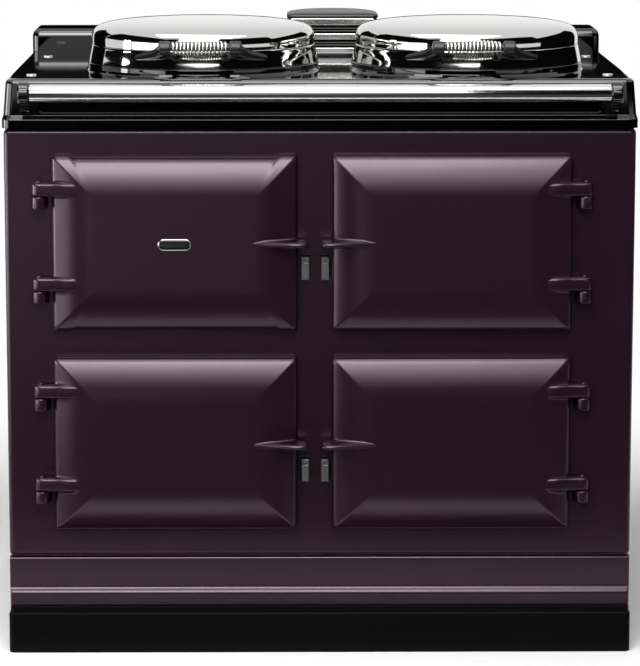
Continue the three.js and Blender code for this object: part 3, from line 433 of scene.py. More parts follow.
def loft(rings, capped=True, closed_rings=True, closed_loft=False):
    """Quads between rings of equal count, with or without faces over the first and last."""
    count = len(rings[0])
    points = [tuple(p) for ring in rings for p in ring]
    faces = []
    for r in range(len(rings) if closed_loft else len(rings) - 1):
        first, second = r * count, (r + 1) % len(rings) * count
        for i in range(count if closed_rings else count - 1):
            j = (i + 1) % count
            faces.append((first + i, first + j, second + j, second + i))
    if capped:
        last = (len(rings) - 1) * count
        faces.append(tuple(reversed(range(count))))
        faces.append(tuple(range(last, last + count)))
    return points, faces


def revolved(profile, centre, closed=False, steps=128, axis="Z"):
    """A profile of (radius, height) turned round an axis through centre."""
    rings = []
    for angle in full_turn(steps):
        ring = []
        for radius, height in profile:
            u, v = radius * math.cos(angle), radius * math.sin(angle)
            turned = {"Z": (u, v, height), "X": (height, u, v), "Y": (v, height, u)}[axis]
            ring.append(tuple(Vector(centre) + Vector(turned)))
        rings.append(ring)
    return loft(rings, capped=False, closed_rings=closed, closed_loft=True)


def slab(outline, front, back, crease=32):
    """An upright slab with this outline between two Ys."""
    return mesh_of("slab", loft([facing_ring(outline, front), facing_ring(outline, back)]), crease=crease)


def round_bar(path, radius, sides=12):
    """Sections of a round bar along a closed level path."""
    up = Vector((0, 0, 1))
    rings = []
    for i, point in enumerate(path):
        along = (Vector(path[(i + 1) % len(path)]) - Vector(path[i - 1])).normalized()
        across = along.cross(up).normalized()
        spokes = [across * radius * math.cos(a) + up * radius * math.sin(a) for a in full_turn(sides)]
        rings.append([tuple(Vector(point) + spoke) for spoke in spokes])
    return rings


def mesh_of(name, *shells, crease=32, recalculated=True):
    """One mesh from shells in millimetres: doubles merged, faces outwards, edges above the crease sharp."""
    whole = bmesh.new()
    for points, faces in shells:
        shell = bmesh.new()
        corners = [shell.verts.new(Vector(p) * MM) for p in points]
        for face in faces:
            loop = list(dict.fromkeys(corners[i] for i in face))
            if len(loop) > 2:
                shell.faces.new(loop)
        bmesh.ops.remove_doubles(shell, verts=shell.verts, dist=1e-6)
        bmesh.ops.dissolve_degenerate(shell, dist=1e-7, edges=shell.edges)
        if recalculated:
            bmesh.ops.recalc_face_normals(shell, faces=shell.faces)
        part = bpy.data.meshes.new(name + "_part")
        shell.to_mesh(part)
        shell.free()
        whole.from_mesh(part)
        bpy.data.meshes.remove(part)
    mesh = bpy.data.meshes.new(name)
    whole.to_mesh(mesh)
    whole.free()
    return smooth(mesh, crease)


def smooth(mesh, crease=32):
    """Smooth shading, with the edges above the crease angle left sharp."""
    mesh.shade_smooth()
    mesh.set_sharp_from_angle(angle=math.radians(crease))
    return mesh


def linked(name, data):
    """A new object of the scene that holds this mesh, lamp or camera."""
    made = bpy.data.objects.new(name, data)
    bpy.context.scene.collection.objects.link(made)
    return made


def baked(piece, name):
    """The plain mesh that an object's modifiers give; the object goes."""
    bpy.context.view_layer.update()
    evaluated = piece.evaluated_get(bpy.context.evaluated_depsgraph_get())
    mesh = bpy.data.meshes.new_from_object(evaluated)
    mesh.name = name
    bpy.data.objects.remove(piece)
    return mesh


def softened(mesh, width, segments=3, angle=32, crease=40):
    """A mesh with its edges rounded to a width in millimetres."""
    piece = linked("softening", mesh)
    bevel = piece.modifiers.new("edges", "BEVEL")
    bevel.width = width * MM
    bevel.segments = segments
    bevel.limit_method = "ANGLE"
    bevel.angle_limit = math.radians(angle)
    bevel.use_clamp_overlap = True
    bevel.harden_normals = False
    return flat_faced(smooth(baked(piece, mesh.name), crease))


def flat_faced(mesh):
    """A mesh whose flat faces shade flat right up to the rounded edges that they meet."""
    piece = linked("flattening", mesh)
    piece.modifiers.new("normals", "WEIGHTED_NORMAL").keep_sharp = True
    return baked(piece, mesh.name)


def carved(mesh, *tools, operation="DIFFERENCE"):
    """A mesh with others cut from it, or joined to it."""
    piece = linked("carving", mesh)
    cutters = []
    for tool in tools:
        cutter = linked("cutter", tool)
        change = piece.modifiers.new("cut", "BOOLEAN")
        change.operation = operation
        change.solver = "EXACT"
        change.object = cutter
        cutters.append(cutter)
    made = baked(piece, mesh.name)
    for cutter in cutters:
        bpy.data.objects.remove(cutter)
    return smooth(made)


def node_mesh(node):
    """A merged copy of a CAD node's mesh, its flat faces made whole again."""
    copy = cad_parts[node].data.copy()
    made = bmesh.new()
    made.from_mesh(copy)
    bmesh.ops.remove_doubles(made, verts=made.verts, dist=2e-6)
    bmesh.ops.dissolve_limit(made, angle_limit=math.radians(0.6), verts=made.verts, edges=made.edges)
    made.to_mesh(copy)
    made.free()
    copy.materials.clear()
    return smooth(copy)


def finished(name, mesh, finish, body, *nodes, slot=None):
    """Puts a mesh into the scene as a piece of the cooker, riding on its body in place of its CAD nodes."""
    mesh.name = name
    mesh.materials.clear()
    mesh.materials.append(FINISHES[finish])
    piece = linked(name, mesh)
    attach(piece, body)
    if nodes:
        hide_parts(*nodes)


def refined(name, node, finish, body, *edges):
    """A piece that is its CAD node with softened edges; edges are the width and what follows it in softened."""
    finished(name, softened(node_mesh(node), *edges), finish, body, node)


# ---------------------------------------------------------------- geometry nodes
def new_tree(name, inputs):
    """A Geometry Nodes tree with named inputs, each (socket type, name, default)."""
    tree = bpy.data.node_groups.new(name, "GeometryNodeTree")
    tree.interface.new_socket("Geometry", in_out="INPUT", socket_type="NodeSocketGeometry")
    tree.interface.new_socket("Geometry", in_out="OUTPUT", socket_type="NodeSocketGeometry")
    for kind, title, default in inputs:
        made = tree.interface.new_socket(title, in_out="INPUT", socket_type=kind)
        if default is not None:
            made.default_value = default
    start = tree.nodes.new("NodeGroupInput")
    return tree, start.outputs


def end_tree(tree, geometry, material):
    """Ends a tree in Realize Instances and Set Material."""
    real = add_node(tree, "GeometryNodeRealizeInstances", {"Geometry": geometry}).outputs[0]
    dressed = add_node(tree, "GeometryNodeSetMaterial", {"Geometry": real, "Material": material}).outputs[0]
    add_node(tree, "NodeGroupOutput", {"Geometry": dressed})


def grown(name, tree, values, mesh=None):
    """The plain mesh that a tree gives with these input values, over a mesh or over nothing."""
    piece = linked(name + "_growing", mesh or bpy.data.meshes.new(name))
    modifier = piece.modifiers.new("nodes", "NODES")
    modifier.node_group = tree
    for item in tree.interface.items_tree:
        if item.item_type == "SOCKET" and item.in_out == "INPUT" and item.name in values:
            modifier[item.identifier] = values[item.name]
    return baked(piece, name)


def swept(tree, curve, radius, sides):
    """Round wire along a curve, closed at its ends."""
    section = add_node(tree, "GeometryNodeCurvePrimitiveCircle", {"Resolution": sides, "Radius": radius})
    values = {"Curve": curve, "Profile Curve": section.outputs["Curve"], "Fill Caps": True}
    return add_node(tree, "GeometryNodeCurveToMesh", values).outputs[0]


def coil_tree():
    """A barrel-shaped coil of wire about the X axis, from a line bent to a helix."""
    tree, given = new_tree(
        "CoilGrip",
        [
            ("NodeSocketInt", "Turns", 15),
            ("NodeSocketFloat", "Half Length", 0.044),
            ("NodeSocketFloat", "End Radius", 0.008),
            ("NodeSocketFloat", "Middle Radius", 0.011),
            ("NodeSocketFloat", "Wire Radius", 0.0018),
            ("NodeSocketVector", "Centre", (0, 0, 0)),
            ("NodeSocketMaterial", "Material", None),
        ],
    )

    def math_node(operation, first, second=0.0):
        return add_node(tree, "ShaderNodeMath", {0: first, 1: second}, operation=operation).outputs[0]

    count = math_node("MULTIPLY", given["Turns"], 40)
    line = add_node(tree, "GeometryNodeCurvePrimitiveLine").outputs["Curve"]
    fine = add_node(tree, "GeometryNodeResampleCurve", {"Curve": line, "Count": count}).outputs[0]
    share = add_node(tree, "GeometryNodeSplineParameter").outputs["Factor"]
    swell = math_node("POWER", math_node("SINE", math_node("MULTIPLY", share, math.pi)), 1.2)
    spread = math_node("SUBTRACT", given["Middle Radius"], given["End Radius"])
    radius = math_node("ADD", given["End Radius"], math_node("MULTIPLY", spread, swell))
    angle = math_node("MULTIPLY", math_node("MULTIPLY", share, 2 * math.pi), given["Turns"])
    offset = math_node("SUBTRACT", math_node("MULTIPLY", share, 2.0), 1.0)
    along = math_node("MULTIPLY", offset, given["Half Length"])
    y = math_node("MULTIPLY", radius, math_node("COSINE", angle))
    z = math_node("MULTIPLY", radius, math_node("SINE", angle))
    helix = add_node(tree, "ShaderNodeCombineXYZ", {"X": along, "Y": y, "Z": z}).outputs[0]
    place = add_node(tree, "ShaderNodeVectorMath", {0: helix, 1: given["Centre"]}, operation="ADD").outputs[0]
    bent = add_node(tree, "GeometryNodeSetPosition", {"Geometry": fine, "Position": place}).outputs[0]
    end_tree(tree, swept(tree, bent, given["Wire Radius"], 14), given["Material"])
    return tree


def copies_tree():
    """One small part repeated at each point of a mesh."""
    tree, given = new_tree(
        "RepeatedParts",
        [
            ("NodeSocketObject", "Part", None),
            ("NodeSocketVector", "Turn", (0, 0, 0)),
            ("NodeSocketMaterial", "Material", None),
        ],
    )
    part = add_node(tree, "GeometryNodeObjectInfo", {"Object": given["Part"]}).outputs["Geometry"]
    values = {"Points": given["Geometry"], "Instance": part, "Rotation": given["Turn"]}
    placed = add_node(tree, "GeometryNodeInstanceOnPoints", values).outputs[0]
    end_tree(tree, placed, given["Material"])
    return tree


def bars_tree():
    """Round bars side by side along X, as in a wire shelf."""
    tree, given = new_tree(
        "ShelfBars",
        [
            ("NodeSocketInt", "Bars", 15),
            ("NodeSocketFloat", "Pitch", 0.02),
            ("NodeSocketFloat", "Length", 0.39),
            ("NodeSocketFloat", "Radius", 0.0022),
            ("NodeSocketVector", "First", (0, 0, 0)),
            ("NodeSocketMaterial", "Material", None),
        ],
    )
    offset = add_node(tree, "ShaderNodeCombineXYZ", {"X": given["Pitch"]}).outputs[0]
    values = {"Count": given["Bars"], "Start Location": given["First"], "Offset": offset}
    row = add_node(tree, "GeometryNodeMeshLine", values, mode="OFFSET").outputs["Mesh"]
    end = add_node(tree, "ShaderNodeCombineXYZ", {"Y": given["Length"]}).outputs[0]
    line = add_node(tree, "GeometryNodeCurvePrimitiveLine", {"End": end}).outputs["Curve"]
    values = {"Points": row, "Instance": swept(tree, line, given["Radius"], 12)}
    placed = add_node(tree, "GeometryNodeInstanceOnPoints", values).outputs[0]
    end_tree(tree, placed, given["Material"])
    return tree


TREES = {}


def make_trees():
    """Makes each tree once, before the first piece that grows from it."""
    TREES.update(coil=coil_tree(), copies=copies_tree(), bars=bars_tree())


def repeated(name, part, points, finish, turn=(0, 0, 0)):
    """A part's mesh repeated at points given in millimetres."""
    spots = bpy.data.meshes.new(name + "_spots")
    spots.from_pydata([tuple(Vector(p) * MM) for p in points], [], [])
    master = linked(name + "_part", part)
    values = {"Part": master, "Turn": turn, "Material": FINISHES[finish]}
    mesh = grown(name, TREES["copies"], values, spots)
    bpy.data.objects.remove(master)
    return smooth(mesh)


# ---------------------------------------------------------------- stage
def place_camera():
    """The photograph's viewpoint: a step left of the middle, a little above the hob, looking slightly down."""
    data = bpy.data.cameras.new("camera")
    data.lens = 171
    data.sensor_width = 36
    data.shift_x = 0.018
    data.shift_y = -0.05
    data.clip_start, data.clip_end = 0.1, 60
    camera = linked("camera", data)
    camera.location = (-0.058, -5.2, 1.342)
    downwards, to_the_right = 9.01, 0.46
    camera.rotation_euler = Euler((math.radians(90 - downwards), 0, math.radians(-to_the_right)))
    bpy.context.scene.camera = camera


def place_lamp(name, at, towards, size, strength):
    """A softbox at a place, turned towards another; its energy makes it strength times as bright as white."""
    data = bpy.data.lights.new(name, "AREA")
    data.shape = "RECTANGLE"
    data.size, data.size_y = size
    data.energy = strength * math.pi * size[0] * size[1]
    lamp = linked(name, data)
    lamp.location = at
    lamp.rotation_euler = (Vector(towards) - Vector(at)).to_track_quat("-Z", "Y").to_euler()


def plain_ray(tree):
    """1 for rays from the camera, from gloss and through glass, which all see the studio as white."""
    rays = add_node(tree, "ShaderNodeLightPath").outputs
    seen = rays["Is Camera Ray"]
    for other in ("Is Glossy Ray", "Is Transmission Ray"):
        seen = add_node(tree, "ShaderNodeMath", {0: seen, 1: rays[other]}, operation="MAXIMUM").outputs[0]
    return seen


def white_world(ambient):
    """A white studio: white to the eye and in gloss, and a soft even fill for the rest."""
    world = bpy.data.worlds.new("studio")
    bpy.context.scene.world = world
    world.use_nodes = True
    tree = world.node_tree
    tree.nodes.clear()
    strength = ranged(tree, plain_ray(tree), ambient, 1.0)
    back = add_node(tree, "ShaderNodeBackground", {"Color": (1, 1, 1, 1), "Strength": strength})
    add_node(tree, "ShaderNodeOutputWorld", {"Surface": back.outputs[0]})


def studio_floor():
    """A pale floor that takes the cooker's shadow, and fades to the white of the studio two metres away."""
    reach, below_plinth = 90000, -0.4
    corners = [(-reach, -reach), (reach, -reach), (reach, reach), (-reach, reach)]
    mesh = mesh_of("floor", (level_ring(corners, below_plinth), [(0, 1, 2, 3)]), recalculated=False)
    material, tree = new_material("studio_floor")
    grain = object_noise(tree, 400, 2.0)
    shade = between(tree, grain, linear("#f3f3f2"), linear("#f7f7f7"))
    near = add_node(tree, "ShaderNodeBsdfPrincipled", {"Base Color": shade, "Roughness": 0.85})
    away = add_node(tree, "ShaderNodeVectorMath", {0: object_place(tree)}, operation="LENGTH").outputs["Value"]
    fade_start, fade_end = 0.75, 1.9
    values = {"Value": away, "From Min": fade_start, "From Max": fade_end}
    fade = add_node(tree, "ShaderNodeMapRange", values, interpolation_type="SMOOTHSTEP").outputs[0]
    seen = add_node(tree, "ShaderNodeMath", {0: fade, 1: plain_ray(tree)}, operation="MULTIPLY").outputs[0]
    white = add_node(tree, "ShaderNodeEmission", {"Color": (1, 1, 1, 1), "Strength": 1.0})
    both = add_node(tree, "ShaderNodeMixShader", {0: seen, 1: near.outputs[0], 2: white.outputs[0]})
    add_node(tree, "ShaderNodeOutputMaterial", {"Surface": both.outputs[0]})
    mesh.materials.append(material)
    linked("floor", mesh)


def studio_card(name, corners, stops):
    """A card seen only in gloss, where the photograph's reflections are dark; stops are (X, brightness)."""
    mesh = mesh_of(name, (corners, [(0, 1, 2, 3)]), recalculated=False)
    material, tree = new_material(name)
    x = add_node(tree, "ShaderNodeSeparateXYZ", {"Vector": object_place(tree)}).outputs["X"]
    first, last = stops[0][0], stops[-1][0]
    values = {"Value": x, "From Min": first * MM, "From Max": last * MM}
    share = add_node(tree, "ShaderNodeMapRange", values)
    ramp = add_node(tree, "ShaderNodeValToRGB", {"Fac": share.outputs[0]})
    stones = ramp.color_ramp.elements
    while len(stones) < len(stops):
        stones.new(0.5)
    # Places first and levels after, so that each level lands on its place.
    for stone, (at, _) in zip(stones, stops):
        stone.position = (at - first) / (last - first)
    for stone, (_, level) in zip(stones, stops):
        stone.color = (level, level, level, 1)
    # The emission paints reflections: the card shows only in gloss, as a painted dark reflection where its
    # levels are low and a painted glow where they are high.
    glow = add_node(tree, "ShaderNodeEmission", {"Color": ramp.outputs["Color"], "Strength": 1.0})
    add_node(tree, "ShaderNodeOutputMaterial", {"Surface": glow.outputs[0]})
    mesh.materials.append(material)
    card = linked(name, mesh)
    for kind in ("camera", "diffuse", "transmission", "volume_scatter", "shadow"):
        setattr(card, "visible_" + kind, False)


# Softboxes: name, place, what they face, width and height in metres, and brightness against white. Four of
# them make one tall stack in front that grows dimmer downwards, which the enamel shows as a soft fall-off.
FRONT = (0, -0.3, 0.65)
SIDE = (0, -0.3, 0.6)
LAMPS = [
    ("key_softbox", (-0.35, -3.3, 3.05), FRONT, (2.4, 1.35), 12),
    ("upper_strip", (-0.35, -3.3, 2.09), FRONT, (2.4, 0.50), 5.0),
    ("middle_strip", (-0.35, -3.3, 1.63), FRONT, (2.4, 0.44), 2.2),
    ("lower_strip", (-0.35, -3.3, 1.20), FRONT, (2.4, 0.42), 0.9),
    ("top_softbox", (-0.2, -0.95, 2.75), (-0.1, -0.5, 0.9), (2.4, 1.1), 4.5),
    ("left_softbox", (-2.0, -1.45, 0.62), SIDE, (1.55, 1.15), 2.5),
    ("rim_strip", (-2.6, -0.5, 0.80), SIDE, (0.35, 1.15), 15),
    ("back_fill", (0.7, 3.1, 2.5), (0, 0.2, 0.3), (2.6, 1.6), 1.6),
]
# The floor cards paint the floor's reflection in the enamel and steel: toe_card is a painted shadow just in
# front of the plinth, and the other two dim the floor's reflection farther out.
# Cards near the floor: name, front, back and brightness.
FLOOR_CARDS = [
    ("toe_card", -600, -345, 0.01),
    ("near_floor_card", -3000, -860, 0.06),
    ("far_floor_card", -14000, -3000, 0.02),
]
# Upright cards: name, where they start and end on the floor plan, lowest and highest point, and brightness.
# BLACK cards paint dark reflections round the cooker. GLOW is a painted reflection: a glowing card low in
# front, brightest left of the middle and fading to the right, so the enamel's left side reflects lighter.
BLACK = [(-4500, 0.003), (4500, 0.003)]
GLOW = [(-1500, 0.003), (-1000, 1.0), (-450, 0.45), (0, 0.25), (500, 0.12), (1200, 0.003)]
UPRIGHT_CARDS = [
    ("rail_flag", (-560, -560), (560, -560), 1012, 1060, BLACK),
    ("low_front_card", (-3300, -3690), (1950, -3690), 0, 430, GLOW),
    ("front_card", (-3300, -3700), (1950, -3700), 0, 3900, BLACK),
    ("left_upper_card", (-3300, -3700), (-3500, 1500), 1330, 3900, BLACK),
    ("left_back_card", (-3400, 1500), (-1800, 2800), 0, 2600, BLACK),
    ("right_card", (1950, -3700), (4100, -1000), 0, 660, BLACK),
    ("right_upper_card", (1950, -3700), (4100, -1000), 1050, 3900, BLACK),
    ("right_back_card", (4100, -1000), (2200, 2600), 0, 2600, BLACK),
    ("back_card", (-560, 400), (560, 400), 700, 1000, BLACK),
]


class COOKER_OT_stage(bpy.types.Operator):
    """Make the camera, the soft lamps, the pale floor, the cards and the white studio"""

    bl_idname = "cooker.stage"
    bl_label = "Stage"

    def execute(self, context):
        place_camera()
        white_world(0.10)
        studio_floor()
        for lamp in LAMPS:
            place_lamp(*lamp)
        bpy.data.objects["back_fill"].visible_glossy = False
        for name, front, back, level in FLOOR_CARDS:
            corners = [(-4000, front, 4), (4500, front, 4), (4500, back, 4), (-4000, back, 4)]
            studio_card(name, corners, [(-4000, level), (4500, level)])
        for name, (x0, y0), (x1, y1), low, high, stops in UPRIGHT_CARDS:
            studio_card(name, [(x0, y0, low), (x1, y1, low), (x1, y1, high), (x0, y0, high)], stops)
        context.scene.view_settings.view_transform = "Standard"
        return {"FINISHED"}


# ---------------------------------------------------------------- front
def filled_face(outer, holes, y):
    """A flat face at y inside an outline, pierced by holes."""
    made = bmesh.new()
    edges = []
    for outline in (outer, *holes):
        corners = [made.verts.new((u, y, v)) for u, v in outline]
        edges += [made.edges.new((corners[i - 1], corners[i])) for i in range(len(corners))]
    bmesh.ops.triangle_fill(made, edges=edges, use_beauty=True)
    made.verts.index_update()
    shell = ([tuple(v.co) for v in made.verts], [[v.index for v in f.verts] for f in made.faces])
    made.free()
    return shell


def joined(*shells):
    """Shells that share their borders, as one."""
    points, faces = [], []
    for more_points, more_faces in shells:
        start = len(points)
        points += more_points
        faces += [[start + i for i in face] for face in more_faces]
    return points, faces


def edge_levels(edge, steps=4):
    """A rounded edge as (inset, depth) levels, from just inside the face round to the side."""
    return [(edge + 0.4, 0), *[(edge * (1 - math.sin(a)), edge * (1 - math.cos(a))) for a in arc(steps)]]


def pierced_plate(outer_at, hole_ats, front, back, edge):
    """A flat plate facing forward with holes, its front edges rounded; outlines are given by their inset."""
    levels = [*edge_levels(edge), (0, back - front)]
    rim = loft([facing_ring(outer_at(inset), behind(front + down)) for inset, down in levels], capped=False)
    walls = [
        loft([facing_ring(hole_at(-inset), behind(front + down)) for inset, down in levels], capped=False)
        for hole_at in hole_ats
    ]
    inset = levels[0][0]
    face = filled_face(outer_at(inset), [hole_at(-inset) for hole_at in hole_ats], behind(front))
    rear = filled_face(outer_at(0), [hole_at(0) for hole_at in hole_ats], behind(back))
    return joined(rim, face, rear, *walls)


def mouth_outline(door, inset):
    """The mouth that a door closes, drawn in by an inset."""
    middle = (DOORS[door]["free"] + DOORS[door]["hinged"]) / 2
    z = DOORS[door]["z"]
    w, h = MOUTH["half_width"] - inset, MOUTH["half_height"] - inset
    return rectangle(middle - w, z - h, middle + w, z + h, max(MOUTH["radius"] - inset, 2), 10)


def front_plate_mesh():
    """A cast tray with a rolled rim, pierced by four mouths and four catch slots whose edges are softened."""
    half, low, high = PLATE["half"], PLATE["low"], PLATE["high"]

    def ring(inset, depth):
        outline = rectangle(-half + inset, low + inset, half - inset, high - inset, max(9 - inset, 0.8), 8)
        return facing_ring(outline, behind(depth))

    roll = 8
    rim = [ring(roll * (1 - math.cos(a)), PLATE["front"] + roll * (1 - math.sin(a))) for a in arc(10)]
    support = ring(roll + 0.8, PLATE["front"])
    inside = [ring(9, PLATE["rim"]), ring(9, PLATE["back"])]
    walls = loft([*reversed(inside), ring(0, PLATE["rim"]), *rim, support], capped=False)

    def hole(outline_at):
        """The wall of a hole, and its outline in the front and in the back face."""
        levels = [*edge_levels(1.5), (0, PLATE["back"] - PLATE["front"])]
        rings = [facing_ring(outline_at(-inset), behind(PLATE["front"] + down)) for inset, down in levels]
        return loft(rings, capped=False), outline_at(-levels[0][0]), outline_at(0)

    def slot_at(x, z):
        return lambda inset: rectangle(x - 7 + inset, z - 19 + inset, x + 7 - inset, z + 19 - inset, 1.5, 4)

    holes = [hole(lambda inset, door=door: mouth_outline(door, inset)) for door in DOORS]
    holes += [hole(slot_at(x, z)) for z in CATCH_Z.values() for x in CATCH_X]
    hole_walls, hole_fronts, hole_backs = zip(*holes)
    face = filled_face([(x, z) for x, _, z in support], hole_fronts, behind(PLATE["front"]))
    rear = filled_face([(x, z) for x, _, z in inside[1]], hole_backs, behind(PLATE["back"]))
    shell = joined(walls, face, rear, *hole_walls)
    return flat_faced(mesh_of("front_plate", shell, crease=30))


def skirting_mesh():
    """A strip that steps forward to a rounded nose, its ends turned back like the front plate's."""
    top, bottom, face, rear = 154.7, 75.3, SKIRTING["face"], 29.7
    nose = face - SKIRTING["nose"]
    step_top, step_foot = SKIRTING["step"] + 3.5, SKIRTING["step"] - 3.5
    corners = [(rear, bottom), (rear, top), (face, top), (face, step_top), (nose, step_foot), (nose, bottom)]
    profile = rounded(corners, [0.5, 0.8, 5, 9, 11, 3], 8)
    corner, foremost, half = 11, nose - 3, PLATE["half"]

    def station(x, turn):
        """The profile at x, moved back and flattened by the turn of the rounded end."""
        back = foremost + corner * (1 - math.sin(turn))
        return [(x, behind(max(depth, back)), z) for depth, z in profile]

    right = [station(half - corner + corner * math.cos(turn), turn) for turn in reversed(arc(10))]
    left = [[(-x, y, z) for x, y, z in ring] for ring in reversed(right)]
    return flat_faced(mesh_of("skirting", loft([*left, *right]), crease=40))


def plinth_mesh():
    """A steel tray on its edge: an upright face that steps back under the skirting, open underneath."""
    front, back, wall = PLINTH["front"], PLINTH["back"], PLINTH["wall"]
    levels = [(1, 0), (0, 1), (0, 61.5), (0.6, 63.2), (2.4, 64.6), (2.4, 74), (3.4, 75)]
    inner = [plan_ring(HALF - wall, behind(front + wall), behind(back - wall), 4, z, 8) for z in (66, 0)]
    outer = [plan_ring(HALF - i, behind(front + i), behind(back), [8, 8, 2, 2], z, 8) for i, z in levels]
    return flat_faced(mesh_of("plinth", loft([*inner, *outer]), crease=35))


class COOKER_OT_front(bpy.types.Operator):
    """Make the front plate, the skirting with its bead, and the plinth"""

    bl_idname = "cooker.front"
    bl_label = "Front Plate and Plinth"

    def execute(self, context):
        finished("front_plate_cast", front_plate_mesh(), "enamel", "casing", "front_plate")
        finished("skirting_strip", skirting_mesh(), "enamel", "casing", "skirting")
        finished("plinth_tray", plinth_mesh(), "matt_black", "casing", "plinth")
        return {"FINISHED"}


# ---------------------------------------------------------------- doors
def side_of(door):
    """1 for a door hinged on its right, -1 for one hinged on its left."""
    return 1 if DOORS[door]["hinged"] > DOORS[door]["free"] else -1


def hinge_axis(door):
    """The X and Y of a door's pins."""
    return DOORS[door]["hinged"] + side_of(door) * HINGE["offset"], standing(HINGE["proud"])


def graded(length, pitch, focuses, reach=16, fine=1.2):
    """Positions along an edge of a length, closer together near the focuses."""
    spots = [0.0]
    while spots[-1] < length:
        at = spots[-1]
        near = min([abs(at - f) for f in focuses] or [length])
        step = fine + (pitch - fine) * min(max(near - reach * 0.7, 0) / reach, 1)
        spots.append(at + step)
    scale = length / spots[-1]
    return [s * scale for s in spots]


def door_slope(sizes):
    """The roll and the slope of a door's face, met without a crease: (inset, proud) where the slope starts."""
    border, roll = sizes.door_border / MM, sizes.door_roll / MM
    tilt = math.radians(22)
    start = roll * (1 - math.sin(tilt))
    rise = math.tan(tilt) * (border - start) / 2
    return border, roll, tilt, start, DOOR_MIDDLE - rise


def door_profile(sizes, inset):
    """How far the door's face stands in front of the plate, at an inset from its edge."""
    border, roll, tilt, start, foot = door_slope(sizes)
    if inset >= border:
        return DOOR_MIDDLE
    if inset >= start:
        share = (border - inset) / (border - start)
        return DOOR_MIDDLE - (DOOR_MIDDLE - foot) * share * share
    turn = math.acos(max(1 - inset / roll, -1))
    return foot - roll * math.cos(tilt) + roll * math.sin(turn)


def fillet_height(distance, radius):
    """How far a surface climbs towards an upright wall that is this far away."""
    if distance >= radius or radius <= 0:
        return 0.0
    return radius - math.sqrt(max(radius * radius - (radius - max(distance, 0)) ** 2, 0))


def spread(stations, at):
    """The value at a place along (place, value) stations, held beyond both ends."""
    if at <= stations[0][0]:
        return stations[0][1]
    for (a, low), (b, high) in zip(stations, stations[1:]):
        if at <= b:
            return low + (high - low) * (at - a) / (b - a)
    return stations[-1][1]


def horn_half_height(along):
    """Half the height of the horn, at a distance from its outer end."""
    return spread([(at, thick / 2) for at, thick, _, _ in HORN_STATIONS], along)


def horn_front(along):
    """How far the horn's ridge stands in front of the plate."""
    return spread([(at, front) for at, _, front, _ in HORN_STATIONS], along)


def arm_front(from_axis):
    """How far a hinge arm's face stands in front of the plate, at a distance from its pin towards the door."""
    reach = HINGE["reach"]
    stations = [(0, 29.5), (26, 31), (reach - 30, 33.8), (reach - 16, 34.2), (reach - 4, 33.2), (reach, 30)]
    return spread(stations, from_axis)


def root_fillet(door, x, z, proud):
    """The climb of the door's face, at a height above the plate, towards the horn and the hinge arms."""
    spec, side = DOORS[door], side_of(door)
    along = (x - (spec["free"] - side * HORN["overhang"])) * side
    climb = 0.0
    if along < HORN["length"] + 6:
        reach = min(max(horn_front(along) - proud, 0) * 0.45, 3.5)
        gap = abs(z - spec["z"] - 1.5) - max(horn_half_height(along), 0) * 0.8
        beyond = max(along - HORN["length"], 0)
        climb = fillet_height(math.hypot(max(gap, 0), beyond), reach)
    from_axis = (hinge_axis(door)[0] - x) * side
    for height in HINGE_HEIGHTS.values():
        gap = abs(z - spec["z"] - height) - HINGE["arm"] / 2 + 1.5
        reach = min(max(arm_front(from_axis) - proud, 0) * 0.7, 6)
        beyond = max(from_axis - HINGE["reach"], 0)
        climb = max(climb, fillet_height(math.hypot(max(gap, 0), beyond), reach))
    return climb


